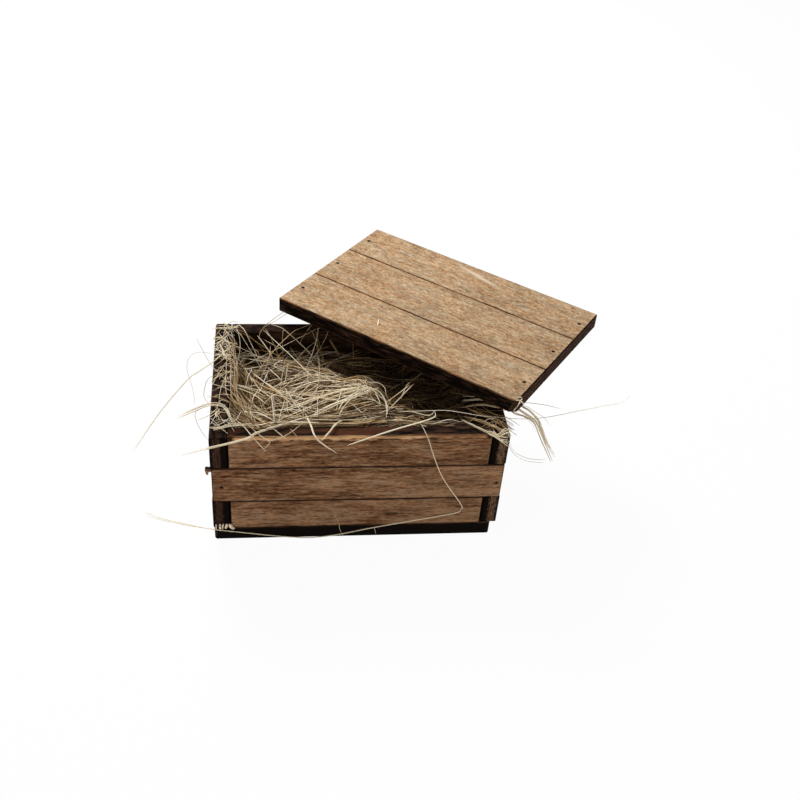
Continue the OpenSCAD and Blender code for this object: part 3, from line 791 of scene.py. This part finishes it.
def blade_tuft(rng, points, count, spread, steps=26):
    """Copies of one given path: the first follows it, and the others stray from it, more towards
    their ends, and end a little sooner. spread is how far apart they are at the start and the end, in mm."""
    path = through(points, 80)
    shares = np.linspace(0, 1, 80)
    tuft = []
    for i in range(count):
        first, last = (0, 1) if i == 0 else (rng.uniform(0, 0.15), rng.uniform(0.8, 1))
        s = np.linspace(first, last, steps)
        line = np.stack([np.interp(s, shares, path[:, k]) for k in range(3)], -1)
        if i:
            stray = rng.normal(0, 1, 3)
            stray[2] = abs(stray[2])
            line = line + stray * (spread[0] + (spread[1] - spread[0]) * s[:, None])
            swing = np.sin(s[:, None] * rng.uniform(4, 14) + rng.uniform(0, 6.28, 3)) - np.sin(rng.uniform(0, 6.28))
            line = line + swing * spread[1] * 0.12 * (1, 1, 0.3)
        tuft.append(line)
    return np.stack(tuft)


# Blades that show singly: how many lie together, how far they spread in mm (start, end), the width in mm,
# the palest tint and the path, whose points are in mm from the middle of the crate
SINGLE_BLADES = [
    # From the back rim down over the grass, and standing up from it
    (1, (0, 0), 0.4, 1.1, [(-35.5, 29.8, 51.4), (-24.5, 14, 50), (-15.5, -1.5, 50)]),
    (1, (0, 0), 0.42, 1.1, [(-37.5, 27.5, 50), (-32.5, 18.5, 48), (-31, 15, 45.5)]),
    (1, (0, 0), 0.36, 1.0, [(-13.5, 16, 48.5), (-14, -0.5, 50.4), (-16.5, -14, 51.2), (-19.5, -21, 51)]),
    (1, (0, 0), 0.36, 0.95, [(-25.5, 13, 47.5), (-26.5, 2, 48.5), (-27.5, -3, 48.5)]),
    (1, (0, 0), 0.4, 1.1, [(-32, -10, 50), (-31, -27, 51.2)]),
    (1, (0, 0), 0.4, 1.05, [(-27, -6, 49.8), (-23, -18, 50.8)]),
    (2, (0.3, 1.0), 0.34, 1.05, [(-45.5, -3, 49.3), (-33, -9, 49.8), (-22, -15, 50.4)]),
    (2, (0.5, 1.5), 0.34, 1.1, [(-45.5, -5, 49.5), (-39, -9.5, 49.8), (-34, -16, 50.4)]),
    (3, (0.6, 0.8), 0.3, 0.8, [(-3, 13.5, 46.5), (3.5, 12.5, 46.5), (8, 13.5, 45.5)]),
    (1, (0, 0), 0.26, 0.6, [(0.5, 24.5, 48), (0.5, 17, 46)]),
    (2, (0.5, 1.5), 0.28, 0.6, [(-9, 26.5, 48.5), (-5, 20, 45)]),
    (1, (0, 0), 0.32, 0.7, [(-15, 33.5, 51.5), (-17, 30.5, 51.2), (-21, 27, 46)]),
    # Over the front rim
    (1, (0, 0), 0.4, 1.0, [(-46, -24, 50.6), (-42, -29.5, 51.3), (-38.5, -35.8, 51.4), (-34, -37.4, 46)]),
    (1, (0, 0), 0.4, 0.95, [(-42, -26, 51), (-36.5, -34, 51.2), (-33, -36.8, 50.6), (-32.6, -37, 49.8), (-34.8, -37.2, 46.8)]),
    (1, (0, 0), 0.34, 0.9, [(-33.5, -36.9, 50.2), (-29, -36, 51.2), (-25, -33, 51.3), (-21, -28, 51)]),
    (1, (0, 0), 0.38, 1.0, [(-38, -24, 50.8), (-32.5, -30, 51.4), (-27, -36.4, 51)]),
    (1, (0, 0), 0.28, 0.8, [(-25.5, -31, 51.2), (-23, -35.5, 51.1)]),
    (2, (0.25, 0.6), 0.5, 1.3, [(-20, -22, 51), (-18, -29.5, 51.5), (-17, -34.5, 51.4), (-15, -37, 50), (-9, -38.3, 45.6)]),
    (2, (0.4, 0.8), 0.5, 1.3, [(-6, -26, 51), (-9.5, -30, 51.4), (-11.5, -33.5, 51.4), (-14.5, -36.6, 50.4)]),
    (2, (0.25, 0.4), 0.5, 1.3, [(27.5, -22.5, 51.8), (26, -27, 52), (10, -33.5, 51.7), (-5.5, -37.5, 48.5)]),
    (1, (0, 0), 0.38, 1.05, [(15, -22, 51), (19, -22.5, 51.4), (25, -25, 51.6), (27.5, -23, 52.2)]),
    # The spray of pale blades in the middle
    (2, (0.3, 1.6), 0.44, 1.2, [(3.5, -10, 52.4), (-0.5, -13, 52.3), (-4, -17, 51.8), (-6.5, -21, 51.2), (-8, -25, 50.6)]),
    (4, (0.4, 1.8), 0.44, 1.15, [(4.5, -9.5, 52.4), (-3, -12, 52.3), (-10.5, -15.5, 51.8), (-19.5, -21, 51), (-30, -27.5, 50.6)]),
    (3, (0.3, 1.4), 0.4, 1.1, [(8, -9, 52), (-1, -14.5, 52), (-8.5, -18.5, 51.5), (-21.5, -27.5, 50.8)]),
    (2, (0.3, 0.5), 0.46, 1.2, [(1, -9.6, 52), (3.5, -10, 52.5), (6, -10.5, 52.5), (8, -12.5, 52.4), (9.5, -16, 52), (10, -20.5, 51.4),
                                (9.5, -25, 50.8)]),
    (1, (0, 0), 0.32, 1.1, [(4, -6, 52), (7.5, -6.5, 52.5), (10, -9, 52.3), (10.5, -13, 51.6)]),
    (1, (0, 0), 0.36, 1.2, [(-2, -6, 52.5), (1, -9, 52.5), (3.5, -10, 52.5), (6, -10, 52)]),
    (1, (0, 0), 0.36, 1.15, [(0.5, -4.5, 53), (2.5, -7.5, 52.6), (3.8, -10.5, 52.3), (3, -14, 51.5)]),
    (1, (0, 0), 0.34, 1.15, [(-3.5, -7.6, 51.6), (1, -10.3, 52.4), (4.5, -10.5, 52.4)]),
    (2, (0.2, 1.2), 0.42, 1.0, [(21.5, -6.5, 51.8), (18, -11, 51.5), (14.5, -15.5, 51), (11, -20, 50.8)]),
    (1, (0, 0), 0.34, 1.0, [(20, -5.2, 51.6), (18, -9, 51.7), (16, -14.5, 51)]),
    # Over the front right corner
    (2, (0.3, 0.6), 0.56, 1.2, [(37, -26.5, 50.8), (40.5, -30.5, 51.3), (44, -33.8, 51.5), (47, -35.9, 51.1), (50.3, -36.7, 49), (53.5, -37.2, 46.5)]),
    (4, (0.4, 0.9), 0.6, 1.35, [(47, -34, 51.3), (48.5, -36.2, 50.2), (50.5, -36, 51.4), (52.5, -35.4, 51.6), (53.6, -36.6, 50.2)]),
    (4, (0.5, 0.9), 0.62, 1.35, [(45.5, -35, 51.3), (48, -36.3, 50.8), (50.5, -36.7, 49.3), (53.5, -37, 48.6)]),
    (8, (1.0, 1.6), 0.36, 0.45, [(41, -20, 50), (46, -25.5, 51), (49.5, -28.5, 51.4), (53, -32.5, 51.4), (56, -35, 50.4)]),
    (5, (0.8, 1.4), 0.34, 0.55, [(43, -18, 49.8), (47.5, -24.5, 50.6), (51.5, -28.5, 51.4), (56, -33, 50.8)]),
    (4, (0.7, 1.2), 0.28, 0.6, [(38, -24, 50.4), (44.5, -28, 51.2), (50, -32, 51.4), (54, -35.5, 51)]),
    (3, (0.5, 1.2), 0.28, 0.9, [(44, -31, 51.2), (48, -29, 51.6), (51, -31, 51.5), (52, -34, 51.2)]),
    # Round the left rim
    (3, (0.3, 0.6), 0.36, 1.0, [(-55.2, 22.5, 50.8), (-53.5, 24, 51.2), (-50.5, 23, 51.2), (-47.8, 18, 50.6)]),
    (2, (0.4, 0.8), 0.36, 1.1, [(-55, 19, 50.9), (-52.5, 21, 51.2), (-49.5, 20, 51.2), (-47.6, 13, 50.6)]),
    (2, (0.3, 0.8), 0.34, 1.05, [(-55.4, 30.5, 50.9), (-52, 30.8, 51.2), (-48.5, 30.2, 51.2), (-44.5, 31.6, 51.2)]),
    (2, (0.3, 0.6), 0.38, 1.15, [(-51.5, 34.8, 51.2), (-48, 30.6, 51.4), (-45, 32.8, 51.2)]),
    (1, (0, 0), 0.3, 0.7, [(-44, 32, 51.2), (-42.5, 29.6, 51.2), (-40.5, 27.6, 48)]),
    (3, (0.4, 1.2), 0.4, 1.2, [(-53.5, 15.5, 51.2), (-51, 18.5, 51.5), (-48.5, 21, 51.2)]),
    (2, (0.4, 0.8), 0.4, 1.2, [(-52, 20.5, 51.3), (-50.5, 16, 51.3), (-49, 10.5, 51.2)]),
    (1, (0, 0), 0.36, 1.1, [(-54.2, -2.8, 50.9), (-51.5, -0.5, 51.2), (-47.5, 2.5, 50.8)]),
    (1, (0, 0), 0.36, 1.1, [(-53.2, -13, 51), (-51, -11.5, 51.2), (-46.5, -10.8, 50.4)]),
    (1, (0, 0), 0.34, 1.0, [(-54.4, 6, 50.9), (-51, 0.5, 51.2), (-47.5, -4.5, 50.6)]),
    (1, (0, 0), 0.3, 0.95, [(-54.2, -6.5, 51), (-52, 0, 51.2), (-49, 9, 51)]),
    (1, (0, 0), 0.3, 0.9, [(-51, -16, 51.1), (-50.5, -8, 51.2), (-48.5, 2, 51)]),
    (4, (0.3, 2.6), 0.32, 1.1, [(-50.6, -20.5, 51.6), (-52, -24, 51.3), (-53.4, -28, 51)]),
    (3, (0.3, 1.6), 0.3, 1.0, [(-51.4, -21.8, 51.6), (-49.8, -25, 51.3), (-48, -29.5, 50.8)]),
    (1, (0, 0), 0.32, 1.0, [(-50.6, -21, 51.6), (-52.5, -23, 51.3), (-54.4, -24.6, 51)]),
    (2, (0.3, 0.6), 0.36, 1.15, [(-54.4, -30, 51), (-50.5, -30.6, 51.3), (-47, -29, 51.2), (-41, -28.2, 51)]),
    (3, (0.4, 1.0), 0.4, 1.15, [(-52.5, -31.6, 51.2), (-49, -30.6, 51.4), (-45.5, -29.5, 51.3), (-37, -28.6, 50.8)]),
    (5, (1.2, 1.2), 0.34, 0.6, [(-48.6, 29, 48.5), (-48, 16.5, 50.4), (-47, 2.5, 50.6), (-46.6, -9.5, 50.4), (-45, -16.5, 50.2),
                                  (-41, -22, 50.2), (-35, -26, 50.2)]),
    (3, (1.0, 2.0), 0.36, 0.8, [(-48.2, 20, 50.2), (-47.4, 4, 50.6), (-47, -8, 50.6), (-45.6, -14, 50.4), (-40, -18.5, 50), (-32, -20.5, 50)]),
    (5, (0.8, 2.0), 0.36, 0.5, [(-45, -21, 50.2), (-42, -25, 50.4), (-36, -28, 50.6), (-26, -28, 50.6)]),
    # Thin ones in the air outside
    (1, (0, 0), 0.2, 0.5, [(-61, 22.5, 52), (-59, 16.5, 52.5), (-56.5, 10, 52), (-53.5, 4, 51.1)]),
    (1, (0, 0), 0.2, 0.6, [(-53, 13, 51.3), (-58, 13.5, 52), (-61.5, 12, 52.5), (-63.5, 9, 51.5), (-63.5, 4, 50.5), (-62, -1, 49),
                           (-60.5, -8, 48), (-60, -12, 46)]),
    (1, (0, 0), 0.2, 0.4, [(-50, 0, 51.2), (-54, -0.5, 51.2), (-55.8, -2.5, 50.8), (-56.6, -5.5, 49.6), (-56.6, -10.5, 49.4),
                           (-54.4, -16.5, 51.1), (-51, -18, 51.2)]),
    (1, (0, 0), 0.2, 0.4, [(-58, -18.5, 50), (-59.4, -20, 49.2), (-58.5, -23, 47), (-56.5, -26.5, 45.5), (-54.6, -30, 45.5)]),
    (2, (0.4, 0.9), 0.22, 0.7, [(52, -36.4, 50.9), (53.6, -37.2, 48), (55.5, -37, 44.5), (58, -36.5, 42), (62.5, -36, 39.5), (69, -35, 38)]),
    (2, (0.5, 1.8), 0.26, 0.6, [(-37, 25, 50), (-35.5, 29.6, 51.6), (-30.5, 33, 53), (-25.5, 37, 54), (-20.5, 38, 55)]),
    # Fine ones tangled at the front right corner
    (3, (0.8, 2.2), 0.2, 0.9, [(42, -27, 50.8), (46.5, -30, 51.5), (50, -33.5, 51.4), (53.5, -35.8, 50.6)]),
    (3, (1.0, 2.0), 0.2, 1.1, [(51, -26, 51.4), (49, -30.5, 51.6), (50.5, -34, 51.4), (53, -36.2, 50.6)]),
    (2, (0.6, 1.5), 0.2, 0.6, [(44, -33.5, 51.3), (49, -32, 51.6), (53, -30, 51.5), (56, -31, 51)]),
]


class CRATE_OT_rim_grass(bpy.types.Operator):
    """Lay grass over the rims, and the blades that show singly"""
    bl_idname = "crate.rim_grass"
    bl_label = "Grass over the rims"

    def execute(self, context):
        rng = np.random.default_rng(31)
        made = place_strands("grass_on_left_rim", [
            strand_group(rng, rim_strands(rng, 60), (0.18, 0.34), (0.5, 1.2))], 32)
        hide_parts("straw_on_back_rim", "straw_on_right_rim")
        singles = []
        for count, spread, width, tint, points in SINGLE_BLADES:
            paths = blade_tuft(rng, points, count, spread)
            singles.append(strand_group(rng, paths, (width * 0.8, width), (tint - 0.3, tint)))
        place_strands("grass_single_blades", singles, 33, sides=4)
        return {"FINISHED"}


# Long blades that hang from the crate, given as the single blades are
LEFT_BLADES = [
    (1, (0, 0), 0.4, 1.6, [(-45.5, 24, 49), (-49, 16.5, 51.2), (-51.5, 12, 51.3), (-54, 8.5, 51.2), (-59.5, 6.5, 48),
                                 (-64, 5, 45), (-74.5, 0, 33.5), (-85.5, -5, 18)]),
    (3, (0.45, 0.5), 0.46, 1.05, [(-43.5, -28, 50.6), (-46, -26, 51), (-47.5, -21.5, 51.3), (-50, -18.5, 51.4),
                                (-53.5, -17.8, 51.3), (-56.5, -18, 50.5), (-59.5, -18.8, 49.5), (-66, -19.4, 46.5)]),
    (3, (0.2, 0.35), 0.42, 1.25, [(-16, -23.5, 51.4), (-36, -33.3, 51.5), (-41.5, -36.5, 50.8), (-63, -39, 46.4)])]
FRONT_BLADES = [
    (1, (0, 0), 0.5, 1.3, [
        (21, -27, 51), (22.5, -33, 51.5), (24, -37, 49.5), (26, -38, 43.5), (30.5, -38.5, 32.5), (38.7, -39.3, 19.2),
        (38.4, -39.5, 16.3), (31, -39.3, 14), (7, -38.6, 8), (-6, -37, 3), (-14, -36.4, 1), (-20, -36.1, 0.5),
        (-29, -36.1, 1.5), (-44, -36.4, 4.5), (-54.5, -36.4, 6.5), (-62.5, -35, 7.5), (-73.5, -33, 9.5), (-79, -32, 11.5)]),
    (1, (0, 0), 0.26, 0.8, [(-40, -36.3, 3.8), (-54.5, -36, 6.2), (-62.5, -34.5, 6.5), (-72, -32, 7), (-78.5, -30, 7.5)]),
    (1, (0, 0), 0.26, 0.8, [(-9, -36.2, 13), (-7, -36.2, 8), (-6.5, -36.6, 5), (-5, -36.4, 1)]),
    (1, (0, 0), 0.26, 0.8, [(6.5, -36.6, 6), (7.5, -36.4, 2)])]
RIGHT_BLADES = [
    (3, (0.25, 0.35), 0.56, 1.25, [(40, -10, 46), (47, -15, 50.6), (52, -18.5, 51.8), (56, -21, 53), (58.5, -24, 53), (61, -25, 51.7), (64.5, -26, 49.5), (66, -26.5, 47.5),
                                (67.5, -27, 44.5), (74.5, -27, 30)]),
    (2, (0.25, 0.35), 0.52, 0.8, [(38, -14, 46), (46, -18, 50.4), (51, -20.5, 51.4), (55, -22, 52.2), (57, -25, 52), (61, -25, 50.5), (64, -26, 49), (65.5, -26.5, 47),
                               (68, -27, 41.5), (74, -27, 29.5)]),
    (3, (0.25, 0.45), 0.46, 1.15, [(41, -7, 46), (48, -13.5, 50.6), (53, -19, 52.2), (57, -20, 53.4), (61, -23, 53), (63, -24, 52), (66, -25, 49), (67.5, -26, 46), (70.5, -27, 39.5),
                               (75, -27, 32)]),
    (1, (0, 0), 0.32, 1.4, [(14, -22, 51), (26, -23, 52.2), (33, -23.5, 52.5), (44, -26.5, 52.5), (51, -27.5, 52.5),
                             (59, -27, 51.2), (70, -23, 48.5), (84.5, -18, 47.5), (97.5, -14, 47), (102, -13, 47), (105.5, -11.5, 49)]),
    (1, (0, 0), 0.22, 0.4, [(44, -14, 48), (51, -18, 51.8), (57, -20, 53.6), (61, -21, 54.2), (69, -22, 53.6), (75, -22, 51.8)]),
    (1, (0, 0), 0.24, 0.4, [(43, -15, 48), (51, -18.5, 51.8), (57, -20, 53.2), (61.5, -22, 53.2), (65.5, -23, 51), (69.5, -24, 48.5), (71.5, -24, 45.5)]),
    (1, (0, 0), 0.2, 0.4, [(44, -20, 49), (51, -22, 51.2), (57, -23, 51.6), (60, -25, 51), (63, -26, 49), (66, -27, 45)])]


class CRATE_OT_long_blades(bpy.types.Operator):
    """Hang the long blades of grass from the crate"""
    bl_idname = "crate.long_blades"
    bl_label = "Long blades"

    def execute(self, context):
        rng = np.random.default_rng(41)
        for name, tufts, node in (
                ("grass_hanging_left", LEFT_BLADES, "loose_straws_left"),
                ("grass_hanging_front", FRONT_BLADES, "loose_straws_front"),
                ("grass_hanging_right", RIGHT_BLADES, "loose_straws_right")):
            groups = []
            for count, spread, width, tint, points in tufts:
                paths = blade_tuft(rng, points, count, spread, steps=60)
                groups.append(strand_group(rng, paths, (width * 0.8, width), (tint - 0.2, tint)))
            made = place_strands(name, groups, 42, sides=5)
            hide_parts(node)
        return {"FINISHED"}


# Splinters: the width in mm, which body they ride, and their points in mm
SPLINTERS = [
    (0.7, "lid", [(55.2, -28.6, 56.2), (56.6, -27.6, 57.6), (57.2, -28, 59.4), (57.6, -28.6, 60.6)]),
    (0.5, "lid", [(56.4, -29, 59.6), (57.4, -28.2, 60.8), (58.2, -27.4, 61.2)]),
    (0.5, "lid", [(55.6, -28, 60.9), (57.2, -28.4, 61.1), (58.4, -29.4, 60.2)]),
    (0.35, "lid", [(56.8, -26.6, 60.9), (58.2, -26.4, 61.0)]),
    (0.7, "lid", [(9.3, 19.4, 60.88), (9.7, 21, 60.9), (10.1, 23.2, 60.88)]),
    (0.55, "lid", [(9.4, 19.3, 60.88), (10.6, 21.2, 60.9), (11, 22.4, 60.88)]),
    (0.9, "crate", [(-52.9, -35.6, 8.2), (-53, -36, 7.2), (-52.9, -36.1, 6.2)]),
    (1.2, "crate", [(-51.4, -35.6, 8.3), (-51.6, -36, 7.2), (-51.5, -36.1, 6.1)]),
    (1.0, "crate", [(-50.2, -35.6, 8.4), (-50.5, -36, 7.4), (-50.6, -36.1, 6.2)]),
    (1.2, "crate", [(-49, -35.6, 8.3), (-49.2, -36, 7.4), (-49.4, -36.1, 6.3)]),
    (1.5, "crate", [(-47.9, -35.6, 8.4), (-47.6, -36, 7.6), (-46.9, -36.1, 6.7), (-46, -36, 6.4)])]


class CRATE_OT_splinters(bpy.types.Operator):
    """Add the raw splinters at the lid's chipped corner and at the foot of the left board"""
    bl_idname = "crate.splinters"
    bl_label = "Splinters"

    def execute(self, context):
        # Torn birch: the pale inside of the board, with a fibrous sheen along it
        wood = context.scene.crate_wood
        material, tree, surface = new_material("torn_birch", Roughness=0.7, Specular_IOR_Level=0.2)
        where = add_node(tree, "TexCoord", out="Object")
        fibres = stretched_noise(tree, where, (1 / MM,) * 3, 6.0, 2.0)
        colour = ramp(tree, fibres, [(0.3, wood.worn_dark), (0.42, wood.torn)])
        tree.links.new(colour, surface.inputs["Base Color"])
        for body, slot in (("lid", "lid_wood"), ("crate", "wall_wood")):
            groups = [(through(points, 10)[None], [width], [1.0]) for width, on, points in SPLINTERS if on == body]
            made = strand_object("splinters_on_" + body, groups, 52, sides=5)
            made.data.materials.append(material)
            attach(made, body)
        return {"FINISHED"}


class CRATE_OT_stage(bpy.types.Operator):
    """Set the floor, lights and camera"""
    bl_idname = "crate.stage"
    bl_label = "Stage"

    def execute(self, context):
        stage = context.scene.crate_stage
        camera = bpy.data.objects.new("camera", bpy.data.cameras.new("camera"))
        camera.data.lens = stage.lens
        camera.data.clip_start, camera.data.clip_end = 0.01, 50
        camera.location = (-0.03083, -0.31402, 0.29399)
        camera.rotation_euler = [math.radians(a) for a in (51.105, -3.995, -5.588)]
        context.scene.collection.objects.link(camera)
        context.scene.camera = camera

        for name, place, size, power in (
                ("softbox", (-0.18, 0.55, 0.55), 0.31, stage.lamp),
                ("right_reflector", (0.4, -0.6, 0.14), 0.4, stage.fill),
                ("left_reflector", (-0.6, -0.35, 0.16), 0.4, stage.left_fill)):
            lamp = bpy.data.lights.new(name, "AREA")
            lamp.shape, lamp.size, lamp.energy = "SQUARE", size, power
            box = bpy.data.objects.new(name, lamp)
            box.location = place
            box.rotation_euler = (-box.location).to_track_quat("-Z", "Y").to_euler()
            context.scene.collection.objects.link(box)

        world = bpy.data.worlds.new("studio")
        context.scene.world = world
        world.use_nodes = True
        tree = world.node_tree
        tree.nodes.clear()
        seen = seen_directly(tree)
        level = add_node(tree, "MapRange", {"Value": seen, "To Min": stage.sky, "To Max": 1.0})
        sky = add_node(tree, "Background", {"Color": (1, 1, 1, 1), "Strength": level})
        add_node(tree, "OutputWorld", {"Surface": sky})

        # Matt white card: white to the eye, with the crate's soft shadow on it
        card, tree, surface = new_material("white_card", Roughness=0.9, Specular_IOR_Level=0.1)
        where = add_node(tree, "TexCoord", out="Object")
        fibres = add_node(tree, "TexNoise", {"Vector": where, "Scale": 900.0, "Detail": 2.0}, out="Fac")
        tone = ramp(tree, fibres, [(0.0, hex_colour("F7F7F6")), (1.0, hex_colour("FCFCFB"))])
        tree.links.new(tone, surface.inputs["Base Color"])
        white = add_node(tree, "Emission", {"Color": (1, 1, 1, 1), "Strength": 1.0})
        share = add_node(tree, "Math", {0: seen_directly(tree), 1: 0.96}, operation="MULTIPLY")
        shown = add_node(tree, "MixShader", {0: share, 1: surface.outputs[0], 2: white})
        tree.links.new(shown, tree.nodes["Material Output"].inputs["Surface"])
        size = 4.0
        mesh = bpy.data.meshes.new("floor")
        mesh.from_pydata([(-size, -size, 0), (size, -size, 0), (size, size, 0), (-size, size, 0)], [], [(0, 1, 2, 3)])
        floor = bpy.data.objects.new("floor", mesh)
        floor.location.z = -0.1 * MM
        mesh.materials.append(card)
        context.scene.collection.objects.link(floor)
        context.scene.view_settings.view_transform = "Standard"
        return {"FINISHED"}


def seen_directly(tree):
    """1 for rays that show a surface as a background: from the camera, in a gloss, or through glass."""
    rays = add_node(tree, "LightPath").node.outputs
    seen = add_node(tree, "Math", {0: rays["Is Camera Ray"], 1: rays["Is Glossy Ray"]}, operation="MAXIMUM")
    return add_node(tree, "Math", {0: seen, 1: rays["Is Transmission Ray"]}, operation="MAXIMUM")


class CRATE_PT_panel(bpy.types.Panel):
    """The crate's pieces, in the order in which they are made"""
    bl_label = "Crate"
    bl_idname = "CRATE_PT_panel"
    bl_space_type = "VIEW_3D"
    bl_region_type = "UI"
    bl_category = "Crate"

    def draw(self, context):
        for group in (context.scene.crate_wood, context.scene.crate_straw, context.scene.crate_stage):
            box = self.layout.box()
            for key in group.bl_rna.properties.keys():
                if key not in ("rna_type", "name"):
                    box.prop(group, key)
        for piece in PIECES:
            self.layout.operator(piece.bl_idname)


PIECES = (CRATE_OT_stage, CRATE_OT_walls, CRATE_OT_base, CRATE_OT_lid, CRATE_OT_nails, CRATE_OT_packed_grass,
          CRATE_OT_grass, CRATE_OT_rim_grass, CRATE_OT_long_blades, CRATE_OT_splinters)
GROUPS = {"crate_wood": CrateWood, "crate_straw": CrateStraw, "crate_stage": CrateStage}


def register():
    for made in (*GROUPS.values(), *PIECES, CRATE_PT_panel):
        bpy.utils.register_class(made)
    for key, group in GROUPS.items():
        setattr(bpy.types.Scene, key, bpy.props.PointerProperty(type=group))


def unregister():
    for key in GROUPS:
        delattr(bpy.types.Scene, key)
    for made in reversed((*GROUPS.values(), *PIECES, CRATE_PT_panel)):
        bpy.utils.unregister_class(made)


def main():
    register()
    for piece in PIECES:
        section, call = piece.bl_idname.split(".")
        getattr(getattr(bpy.ops, section), call)()


if __name__ == "__main__":
    main()
